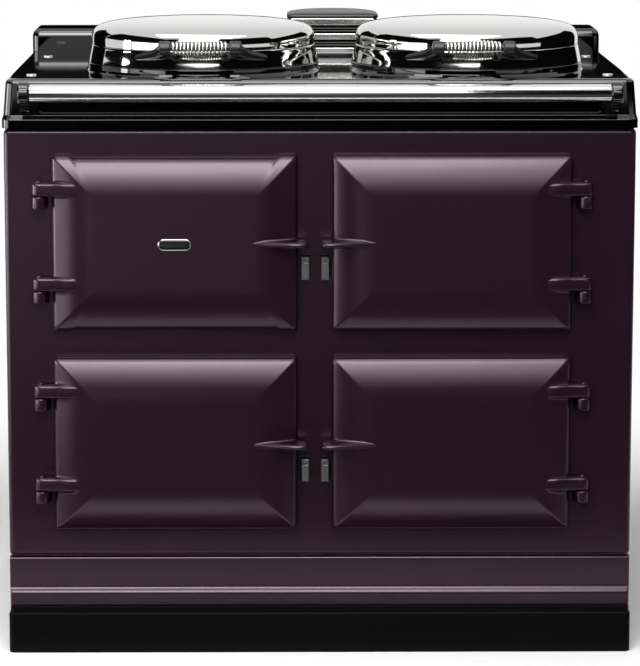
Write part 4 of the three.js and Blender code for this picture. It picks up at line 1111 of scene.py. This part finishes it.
def door_face_shell(door, sizes):
    """The door's pillow: rings from its back edge over the roll and the mitred slope, then a flat grid."""
    spec, side = DOORS[door], side_of(door)
    border, roll, tilt, start, foot = door_slope(sizes)
    left, right = sorted((spec["free"], spec["hinged"]))
    low, high = spec["z"] - DOOR_HALF_HEIGHT, spec["z"] + DOOR_HALF_HEIGHT
    heights = [h + DOOR_HALF_HEIGHT for h in HINGE_HEIGHTS.values()]
    rows = graded(high - low, 3.4, [*heights, DOOR_HALF_HEIGHT + 1.5])
    focus = right - left - border if side > 0 else border
    columns = graded(right - left, 3.4, [focus], reach=30, fine=2.4)
    rows[0], rows[-1] = 0, high - low
    shares_u = [c / (right - left) for c in columns]
    shares_v = [r / (high - low) for r in rows]

    def ear(u_inset, inset):
        """How far the long edges dip between the ears, at a distance from the nearer corner."""
        if not spec["ears"]:
            return 0.0
        rise = min(max((u_inset - 24 - inset * 0.5) / 12, 0), 1)
        rise = rise * rise * (3 - 2 * rise)
        return spec["ears"] * rise * max(1 - inset / border, 0)

    def point(u, v, inset, proud, corner=7.0):
        """The point at shares u and v of the outline drawn in by an inset, with its corners rounded."""
        x = left + inset + u * (right - left - 2 * inset)
        z = low + inset + v * (high - low - 2 * inset)
        gap_x, gap_z = min(x - left, right - x), min(z - low, high - z)
        rounding = max(corner - inset * 0.9, 0)
        cx, cz = gap_x - inset, gap_z - inset
        if cx < rounding and cz < rounding and rounding > 0:
            dx, dz = rounding - cx, rounding - cz
            length = math.hypot(dx, dz)
            pull = rounding / length if length > rounding else 1.0
            nx, nz = rounding - dx * pull, rounding - dz * pull
            x += (nx - cx) * (1 if x < (left + right) / 2 else -1)
            z += (nz - cz) * (1 if z < (low + high) / 2 else -1)
        dip = ear(gap_x, inset)
        z += -dip if z > spec["z"] else 0.6 * dip
        if proud is None:
            proud = door_profile(sizes, inset)
        if proud > foot - 9:
            proud += root_fillet(door, x, z, proud)
        return (x, standing(proud), z)

    def ring(inset, proud=None):
        """The outline drawn in by an inset, standing proud as given or as the profile has it."""
        bottom = [point(u, 0, inset, proud) for u in shares_u[:-1]]
        right_side = [point(1, v, inset, proud) for v in shares_v[:-1]]
        top = [point(u, 1, inset, proud) for u in reversed(shares_u[1:])]
        left_side = [point(0, v, inset, proud) for v in reversed(shares_v[1:])]
        return bottom + right_side + top + left_side

    turns = arc(10, last=math.pi / 2 - tilt)
    rim = [(roll * (1 - math.cos(a)), foot + roll * (math.sin(a) - math.cos(tilt))) for a in turns]
    slope = [start + (border - start) * (i / 22) for i in range(1, 23)]
    rings = [ring(1.6, DOOR_BACK), ring(0.4, DOOR_BACK + 0.5), ring(0, DOOR_BACK + 2)]
    rings += [ring(inset, proud) for inset, proud in rim]
    rings += [ring(inset) for inset in slope]
    points, faces = loft(rings, capped=False)
    first = len(points)
    width, height = len(shares_u), len(shares_v)
    points += [point(u, v, border, None) for v in shares_v for u in shares_u]
    starts = [first + r * width + c for r in range(height - 1) for c in range(width - 1)]
    faces += [(a, a + 1, a + width + 1, a + width) for a in starts]
    back_start = len(points)
    points += rings[0]
    faces.append(tuple(range(back_start, len(points))))
    return points, faces


def horn_shell(door):
    """The horn that serves as a handle: a blunt end beyond the free edge, drawn out to a point on the slope."""
    spec, side = DOORS[door], side_of(door)
    tip = spec["free"] - side * HORN["overhang"]
    rings = []
    for along, thick, front, rear in HORN_STATIONS:
        ring = []
        for angle in full_turn(28):
            c, s = math.cos(angle), math.sin(angle)
            proud = (front + rear) / 2 + (front - rear) / 2 * math.copysign(abs(c) ** 0.8, c)
            z = spec["z"] + 1.5 + thick / 2 * math.copysign(abs(s) ** 0.8, s)
            ring.append((tip + side * along, standing(proud), z))
        rings.append(ring)
    return loft(rings)


def arm_shell(door, height):
    """A flat arm with rounded long edges, round about its pin and sinking into the door's slope."""
    axis_x, to_door = hinge_axis(door)[0], -side_of(door)
    radius, half, edge = HINGE["radius"], HINGE["arm"] / 2, 4.5
    z = DOORS[door]["z"] + height
    turns = arc(10, math.pi / 2, math.pi)
    nose = [(radius * math.cos(a), HINGE["proud"] + radius * math.sin(a)) for a in turns]
    body = [(along, arm_front(along)) for along in (4, 12, 20, 28, 36, 44, 50, 56, 60, HINGE["reach"])]
    rings = []
    for along, face in [*reversed(nose), *body]:
        eye = math.sqrt(max(radius**2 - min(along, 0) ** 2, 0))
        back = max(HINGE["proud"] - eye, 9)
        middle, depth = (face + back) / 2, max((face - back) / 2, 0.3)
        bend = min(edge, depth)
        ring = []
        for cx, cz in ((1, 1), (-1, 1), (-1, -1), (1, -1)):
            start = math.atan2(cz, cx) - math.pi / 4
            for a in arc(5, start, start + math.pi / 2):
                proud = middle + cx * (depth - bend) + bend * math.cos(a)
                level = cz * (half - bend) + bend * math.sin(a)
                ring.append((axis_x + to_door * along, standing(proud), z + level))
        rings.append(ring)
    return loft(rings)


def door_back_shell(door):
    """The pressed plug on the door's back, with a shallow panel and a bead round it."""
    depth = DOORS[door]["plug"]
    levels = [(4, 0), (4, 8), (7, depth - 5), (9, depth - 2), (12, depth)]
    if depth > 20:
        levels += [(26, depth), (29, depth - 2.5), (34, depth - 4), (60, depth - 4)]
    back = DOOR_BACK - 0.3
    return loft([facing_ring(mouth_outline(door, inset), standing(back - down)) for inset, down in levels])


def badge_shells():
    """A plain oval-ended plate without lettering: a raised rim and a sunk field."""
    x, z, half, tall = BADGE.values()

    def ring(inset, height):
        u, v = half - inset, tall - inset
        outline = rectangle(x - u, z - v, x + u, z + v, tall - inset - 0.2, 12)
        return facing_ring(outline, standing(DOOR_MIDDLE + height))

    section = [(0, -0.6), (0, 1.2), (0.5, 1.7), (1.3, 1.7), (1.6, 1.3), (1.7, -0.6)]
    rim = loft([ring(*corner) for corner in section], capped=False, closed_loft=True)
    field = loft([ring(*level) for level in [(1.8, -0.6), (1.8, 0.9), (2.2, 1.1), (5, 1.2)]])
    return rim, field


class COOKER_OT_doors(bpy.types.Operator):
    """Make the four doors: pillowed face, horn, hinge arms and pressed back"""

    bl_idname = "cooker.doors"
    bl_label = "Doors"

    def execute(self, context):
        sizes = context.scene.cooker_sizes
        for door in DOORS:
            arms = [arm_shell(door, height) for height in HINGE_HEIGHTS.values()]
            shells = [door_face_shell(door, sizes), horn_shell(door), *arms]
            body = "door_" + door
            casting = mesh_of("door", *shells, crease=38)
            finished("door_casting_" + door, casting, "enamel", body, "door_" + door)
            back = mesh_of("door_back", door_back_shell(door), crease=35)
            finished("door_back_" + door, back, "aluminium", body, "door_liner_" + door)
        rim, field = badge_shells()
        finished("name_plate_rim", mesh_of("rim", rim), "chrome", "door_upper_left")
        finished("name_plate_field", mesh_of("field", field), "hob", "door_upper_left")
        return {"FINISHED"}


def knuckle_mesh(door, height):
    """A knuckle under a hinge arm: a round post on a foot, softened at both ends, with its pin in it."""
    axis_x, axis_y = hinge_axis(door)
    arm_z = DOORS[door]["z"] + height
    top, foot = arm_z - HINGE["arm"] / 2 - 0.3, behind(PLATE["front"]) - 0.3 - axis_y
    low, radius, edge = top - HINGE["knuckle"], HINGE["radius"], 2.4
    plan = [(-radius - 3.5, foot), (radius + 3.5, foot)]
    plan += [(radius * math.cos(a), -radius * math.sin(a)) for a in arc(20, 0, math.pi)]

    def ring(inset, z):
        """The plan drawn in towards the pin, all but its foot."""
        shares = [1 - inset / math.hypot(u, v) if v < foot - 0.01 else 1 for u, v in plan]
        return [(axis_x + u * share, axis_y + v * share, z) for (u, v), share in zip(plan, shares)]

    levels = [(edge * (1 - math.sin(a)), edge * (1 - math.cos(a))) for a in arc(5)]
    rings = [ring(inset, low + rise) for inset, rise in levels]
    rings += [ring(inset, top - drop) for inset, drop in reversed(levels)]
    pin_top = arm_z + HINGE["arm"] / 2 + 3
    profile = rounded([(0, top - 4), (4, top - 4), (4, pin_top), (0, pin_top)], [0, 0, 2, 0], 5, False)
    pin = revolved(profile, (axis_x, axis_y, 0), steps=32)
    return mesh_of("knuckle", loft(rings), pin, crease=40)


class COOKER_OT_hinges(bpy.types.Operator):
    """Make the hinge knuckles with their pins, and the door catches"""

    bl_idname = "cooker.hinges"
    bl_label = "Hinges and Catches"

    def execute(self, context):
        for door in DOORS:
            for place, height in HINGE_HEIGHTS.items():
                name, knuckle = door + "_" + place, knuckle_mesh(door, height)
                finished("hinge_knuckle_" + name, knuckle, "enamel", "casing", "hinge_" + name)
        for node in CATCH_Z:
            refined(node + "_strip", node, "satin", "casing", 0.8, 3)
        return {"FINISHED"}


# ---------------------------------------------------------------- hob
def top_plate_mesh():
    """The enamelled top: lip, sloping apron with its recess, rounded edge, flat hob and two raised collars."""
    back, top = behind(HOB["back"]), HOB["top"]
    # The edge from the lip up over the apron: height, half width and depth behind the lip.
    edge = [(HOB["lip"], HALF, 0), (850.5, HALF, 0), (857, 491.3, 3.6), (905, 487.6, 6.6), (top, 480, 15)]
    radii = [0, 5, 3, 0, 0]
    halves = rounded([(z, half) for z, half, _ in edge], radii, 6, False)
    depths = rounded([(z, depth) for z, _, depth in edge], radii, 6, False)
    levels = [(z, half, depth) for (z, half), (_, depth) in zip(halves, depths)][:-1]
    levels += [(905 + 8 * math.sin(a), 480 + 7.6 * math.cos(a), 15 - 8.4 * math.cos(a)) for a in arc(8)]
    levels.append((top, 479.2, 15.8))
    rings = [plan_ring(half, behind(depth), back, [14, 14, 1, 1], z) for z, half, depth in levels]
    casting = mesh_of("top", loft(rings))
    inside = slab([(-477.5, 800), (477.5, 800), (477.5, 904), (-477.5, 904)], behind(22), back - 9)
    recess = slab(rectangle(-436, 860, 436, 897, 6, 6), behind(-10), behind(14))
    wells = []
    collars = []
    for x in LID_X.values():
        at = (x, behind(LID_DEPTH), 0)
        wells.append(mesh_of("well", revolved([(0, 890), (160, 890), (160, 930), (0, 930)], at, steps=128)))
        corners = [(150, 911), (189.5, 911), (187.5, 913.6), (185.5, 917), (185.5, 925), (150, 925)]
        profile = rounded(corners, [0, 0, 2, 2, 2, 0], 5, False)
        collars.append(mesh_of("collar", revolved(profile, at, closed=True, steps=128)))
    hollow = carved(casting, inside, recess)
    return softened(carved(carved(hollow, *collars, operation="UNION"), *wells), 1.0, 3, 50, 40)


def upstand_mesh():
    """The rear upstand with a rounded top edge."""
    half, front, back, shoulder = UPSTAND.values()
    levels = [(HOB["lip"], 0), (shoulder, 0)]
    levels += [(shoulder + 14 * math.sin(a), 10 * (1 - math.cos(a))) for a in arc(10)[1:]]
    rings = [plan_ring(half - i, behind(front + i), behind(back), [12, 12, 2, 2], z) for z, i in levels]
    return flat_faced(mesh_of("upstand", loft(rings), crease=40))


class COOKER_OT_hob(bpy.types.Operator):
    """Make the top plate with its collars, the upstand, the hotplates and the small bolt caps"""

    bl_idname = "cooker.hob"
    bl_label = "Hob"

    def execute(self, context):
        finished("top_plate_cast", top_plate_mesh(), "hob", "casing", "top_plate")
        finished("upstand_cast", upstand_mesh(), "hob", "casing", "rear_upstand")
        corners = [(0, 888), (84, 888), (84, 900), (112, 900), (112, 888), (157.5, 888), (157.5, 917), (0, 917)]
        profile = rounded(corners, [0, 1, 1, 1, 1, 1, 3, 0], 4, False)
        for side, x in LID_X.items():
            plate = mesh_of("plate", revolved(profile, (x, behind(LID_DEPTH), 0)), crease=40)
            finished("hotplate_ground_" + side, plate, "ground", "casing", "hotplate_" + side)
            node = "hotplate_element_" + side
            finished("hotplate_rod_" + side, node_mesh(node), "panel", "casing", node)
        corners = [(0, -1), (8.5, -1), (8.5, 0.7), (6.5, 2.0), (0, 2.2)]
        cap = mesh_of("cap", revolved(rounded(corners, [0, 0, 0.8, 1.5, 0], 4, False), (0, 0, 0), steps=32))
        spots = [(x, behind(depth), HOB["top"]) for x in HOB["bolt_xs"] for depth in HOB["bolt_depths"]]
        finished("hob_bolt_caps", repeated("caps", cap, spots, "steel"), "steel", "casing")
        return {"FINISHED"}


# Levels of the cowl and of its cap, as inset and height.
COWL_LEVELS = [
    (-1.2, 913.3), (-1.2, 917.5), (-0.6, 919.4), (0.8, 921.5), (1.5, 925), (1.5, 972), (2.2, 975), (4, 977),
]
CAP_LEVELS = [
    (1.5, 977.3), (0.9, 978), (0.9, 980.6), (2.2, 982.6), (6, 984.2), (16, 985.6), (32, 986.3), (50, 986.5),
]


def cowl_ring(inset, z):
    """The cowl's outline at a height: square in front and half a circle behind."""
    half = COWL["half"] - inset
    front, waist = behind(COWL["front"] + inset), behind(COWL["front"] + COWL["straight"])
    corners = rounded([(-half, waist), (-half, front), (half, front), (half, waist)], [0, 9, 9, 0], 8, False)
    round_back = [(half * math.cos(a), waist + half * math.sin(a)) for a in arc(24, 0, math.pi)[1:-1]]
    return level_ring([(u + COWL["x"], v) for u, v in [*corners, *round_back]], z)


def louvre_slot(low, inset=0, steps=6):
    """The outline of the louvre slot that starts at this height, drawn in by an inset."""
    x, half = COWL["x"], LOUVRE["half"] - inset
    return rectangle(x - half, low + inset, x + half, low + LOUVRE["height"] - inset, 4 - inset, steps)


def grille_shell():
    """The bright front of the cowl: a thin plate with two long louvre slots."""
    x, half, low, high = COWL["x"], COWL["half"] - 4.5, COWL["low"] + 2, COWL["high"] - 0.6

    def outer_at(inset):
        return rectangle(x - half + inset, low + inset, x + half - inset, high - inset, 7 - inset, 8)

    slot_ats = [lambda inset, foot=foot: louvre_slot(foot, inset) for foot in LOUVRE["lows"]]
    return pierced_plate(outer_at, slot_ats, COWL["front"] - 0.2, COWL["front"] + 1.4, 0.9)


class COOKER_OT_cowl(bpy.types.Operator):
    """Make the vent cowl with its bright louvred front, and its cap"""

    bl_idname = "cooker.cowl"
    bl_label = "Vent Cowl"

    def execute(self, context):
        front = behind(COWL["front"])
        housing = mesh_of("cowl", loft([cowl_ring(*level) for level in COWL_LEVELS]))
        slots = [slab(louvre_slot(low, steps=5), front - 5, front + 14) for low in LOUVRE["lows"]]
        finished("vent_housing", softened(carved(housing, *slots), 0.8, 3, 50), "hob", "casing", "vent_cowl")
        finished("vent_grille", mesh_of("grille", grille_shell(), crease=40), "bright_satin", "casing")
        slat = slab(rectangle(-65.6, -0.5, 65.6, 0.5, 0.4, 3), -4.5, 4.5, crease=40)
        spots = [(COWL["x"], front + 8, low + step) for low in LOUVRE["lows"] for step in (2.6, 7, 11.4)]
        slats = repeated("slats", slat, spots, "satin_black", (math.radians(-24), 0, 0))
        finished("vent_slats", slats, "satin_black", "casing")
        cap = mesh_of("cap", loft([cowl_ring(*level) for level in CAP_LEVELS]), crease=45)
        finished("vent_lid", cap, "satin_black", "casing", "vent_cap")
        return {"FINISHED"}


class COOKER_OT_rail(bpy.types.Operator):
    """Make the towel rail and the two brackets that carry it"""

    bl_idname = "cooker.rail"
    bl_label = "Towel Rail"

    def execute(self, context):
        at = (0, behind(RAIL["depth"]), RAIL["z"])
        half, outside, bore = RAIL["half"], RAIL["radius"], RAIL["bore"]
        profile = rounded([(bore, -half), (outside, -half), (outside, half), (bore, half)], 0.5, 3)
        bar = mesh_of("rail", revolved(profile, at, closed=True, steps=96, axis="X"), crease=40)
        finished("rail_bar", bar, "chrome", "casing", "handrail")
        for side in LID_X:
            refined("rail_end_" + side, "rail_bracket_" + side, "hob", "casing", 2.0, 4, 35, 45)
        return {"FINISHED"}


# ---------------------------------------------------------------- lids
# Sections of a lid about its middle, as radius and height.
DOME_OUTSIDE = [
    (179, 954), (179.1, 958), (179, 964), (178.4, 969), (176.9, 973.6), (174.2, 977.6), (170.4, 980.8),
    (165, 983.5), (157, 985.9), (146, 988), (131, 989.9), (112, 991.5), (90, 992.8), (65, 993.7),
    (40, 994.2), (18, 994.45), (0, 994.5),
]
DOME_INSIDE = [(0, 991), (130, 986), (170, 974), (175, 954)]
SKIRT = [
    (184.5, 926.2), (184.1, 928), (183.2, 933), (182.3, 938), (181.3, 943), (180.4, 947), (179.8, 950),
    (179.5, 952.4), (178.9, 953.2), (178, 953.5), (174, 953.6), (179.5, 926), (180.5, 925.5), (183.9, 925.5),
]
PAN = [
    (0, 921), (120, 921), (124, 923), (146, 923), (150, 921), (154, 921), (156, 929), (166, 932), (166, 948),
    (0, 948),
]


def lid_arm_mesh(x):
    """The arm behind a lid's rim, rounded about the hinge pin."""
    pin_y, pin_z, rim_y = behind(422), 938, behind(LID_DEPTH) + 176
    side = [(pin_y + 9 * math.cos(a), pin_z + 9 * math.sin(a)) for a in arc(16, -math.pi / 2, math.pi / 2)]
    side += [(rim_y, pin_z + 8), (rim_y, pin_z - 8)]
    arm = mesh_of("arm", loft([[(x + away, y, z) for y, z in side] for away in (-15, 15)]))
    return softened(arm, 1.2, 3, 40)


class COOKER_OT_lids(bpy.types.Operator):
    """Make the two lids: spun dome, flared skirt, liner, cast grip frame and hinge"""

    bl_idname = "cooker.lids"
    bl_label = "Lids"

    def execute(self, context):
        pan_profile = rounded(PAN, [0, 2, 2, 2, 2, 2, 2, 2, 2, 0], 4, False)
        for side, x in LID_X.items():
            body, at = "lid_" + side, (x, behind(LID_DEPTH), 0)
            dome = mesh_of("dome", revolved(DOME_OUTSIDE + DOME_INSIDE, at, steps=192), crease=40)
            finished("lid_dome_spun_" + side, dome, "steel", body, "lid_dome_" + side)
            skirt = mesh_of("skirt", revolved(SKIRT, at, closed=True, steps=192), crease=40)
            finished("lid_skirt_spun_" + side, skirt, "steel", body, "lid_skirt_" + side)
            finished("lid_hinge_arm_" + side, lid_arm_mesh(x), "steel", body)
            pan = mesh_of("pan", revolved(pan_profile, at), crease=40)
            finished("lid_pan_" + side, pan, "aluminium", body, "lid_liner_" + side)
            refined("grip_casting_" + side, "lid_grip_frame_" + side, "satin_black", body, 0.9, 3, 40, 60)
            refined("lid_hinge_seat_" + side, "lid_hinge_" + side, "hob", "casing", 0.9, 3, 40, 45)
        return {"FINISHED"}


class COOKER_OT_coils(bpy.types.Operator):
    """Wind the barrel-shaped coil of each lid's grip"""

    bl_idname = "cooker.coils"
    bl_label = "Coil Grips"

    def execute(self, context):
        sizes = context.scene.cooker_sizes
        for side, x in LID_X.items():
            values = {
                "Turns": sizes.coil_turns,
                "Half Length": (GRIP["inner"] - 2.2) * MM,
                "End Radius": 7.8 * MM,
                "Middle Radius": 11.2 * MM,
                "Wire Radius": sizes.coil_wire / 2,
                "Centre": tuple(Vector((x, behind(GRIP["depth"]), GRIP["z"])) * MM),
                "Material": FINISHES["wire"],
            }
            coil = smooth(grown("coil", TREES["coil"], values), 60)
            body, node = "lid_" + side, "lid_coil_" + side
            finished("grip_coil_" + side, coil, "wire", body, node, slot="polished_steel")
        return {"FINISHED"}


# ---------------------------------------------------------------- casing and ovens
class COOKER_OT_casing(bpy.types.Operator):
    """Make the side and back panels and the cable gland, and finish the insulation"""

    bl_idname = "cooker.casing"
    bl_label = "Casing"

    def execute(self, context):
        for side in LID_X:
            refined("side_sheet_" + side, "side_panel_" + side, "satin_black", "casing", 0.8, 2)
        refined("back_sheet", "back_panel", "panel", "casing", 0.5, 2, 60)
        refined("cable_bush", "cable_gland", "rubber", "casing", 0.6, 2, 50)
        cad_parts["insulation"].material_slots[0].material = FINISHES["wool"]
        return {"FINISHED"}


def dial_mesh(node):
    """The raised dots on the panel round a control."""
    low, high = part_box(node)
    x, z = (low.x + high.x) / 2 / MM, (low.z + high.z) / 2 / MM
    y, radius = behind(DIAL["panel"]) - 0.25, DIAL["radius"]
    angles = [math.radians(DIAL["first"] + DIAL["step"] * i) for i in range(DIAL["dots"])]
    spots = [(x + radius * math.cos(a), y, z + radius * math.sin(a)) for a in angles]
    outline = [(DIAL["dot"] * math.cos(a), DIAL["dot"] * math.sin(a)) for a in full_turn(16)]
    return repeated("dots", slab(outline, -0.45, 0.5, crease=40), spots, "satin_black")


class COOKER_OT_ovens(bpy.types.Operator):
    """Make the oven boxes, their wire shelves and the control compartment"""

    bl_idname = "cooker.ovens"
    bl_label = "Ovens and Controls"

    def execute(self, context):
        bars, rim = context.scene.cooker_sizes.shelf_bars, 3
        for oven in OVENS:
            refined(oven + "_oven_box", oven + "_oven", "iron", "casing", 1.2, 2, 50)
            shelf = oven + "_shelf"
            low, high = (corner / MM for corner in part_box(shelf))
            z = (low.z + high.z) / 2
            pitch = (high.x - low.x - 2 * rim) / (bars + 1)
            values = {
                "Bars": bars,
                "Pitch": pitch * MM,
                "Length": (high.y - low.y - 2 * rim) * MM,
                "Radius": 2.2 * MM,
                "First": tuple(Vector((low.x + rim + pitch, low.y + rim, z)) * MM),
                "Material": FINISHES["wire"],
            }
            finished(shelf + "_bars", smooth(grown("bars", TREES["bars"], values), 60), "wire", shelf)
            path = level_ring(rectangle(low.x + rim, low.y + rim, high.x - rim, high.y - rim, 14, 6), z)
            bar = loft(round_bar(path, rim), capped=False, closed_loft=True)
            finished(shelf + "_rim", mesh_of("rim", bar, crease=60), "wire", shelf, shelf)
        for node, finish in (("control_box", "panel"), ("control_panel", "satin")):
            refined(node + "_sheet", node, finish, "casing", 0.5, 2, 50)
        for place in ("left", "middle", "right"):
            node = "control_knob_" + place
            refined("knob_" + place + "_cap", node, "rubber", "knob_" + place, 0.8, 3, 35, 50)
            finished("dial_dots_" + place, dial_mesh(node), "satin_black", "casing")
        return {"FINISHED"}


# ---------------------------------------------------------------- sidebar and registration
OPERATORS = [
    COOKER_OT_stage,
    COOKER_OT_front,
    COOKER_OT_doors,
    COOKER_OT_hinges,
    COOKER_OT_hob,
    COOKER_OT_cowl,
    COOKER_OT_rail,
    COOKER_OT_lids,
    COOKER_OT_coils,
    COOKER_OT_casing,
    COOKER_OT_ovens,
]


class COOKER_PT_sidebar(bpy.types.Panel):
    """Lists the cooker's sizes, colours and pieces"""

    bl_label = "Range Cooker"
    bl_idname = "COOKER_PT_sidebar"
    bl_space_type = "VIEW_3D"
    bl_region_type = "UI"
    bl_category = "Cooker"

    def draw(self, context):
        for group in (context.scene.cooker_sizes, context.scene.cooker_colours):
            box = self.layout.box()
            for name in group.bl_rna.properties.keys():
                if name not in ("rna_type", "name"):
                    box.prop(group, name)
        for operator in OPERATORS:
            self.layout.operator(operator.bl_idname)


CLASSES = [CookerColours, CookerSizes, *OPERATORS, COOKER_PT_sidebar]


def register():
    for cls in CLASSES:
        bpy.utils.register_class(cls)
    bpy.types.Scene.cooker_colours = bpy.props.PointerProperty(type=CookerColours)
    bpy.types.Scene.cooker_sizes = bpy.props.PointerProperty(type=CookerSizes)


def unregister():
    del bpy.types.Scene.cooker_sizes
    del bpy.types.Scene.cooker_colours
    for cls in reversed(CLASSES):
        bpy.utils.unregister_class(cls)


def main():
    """Builds every piece in order."""
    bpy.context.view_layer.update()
    register()
    make_finishes(bpy.context.scene.cooker_colours)
    make_trees()
    for operator in OPERATORS:
        group, name = operator.bl_idname.split(".")
        getattr(getattr(bpy.ops, group), name)()


if __name__ == "__main__":
    main()
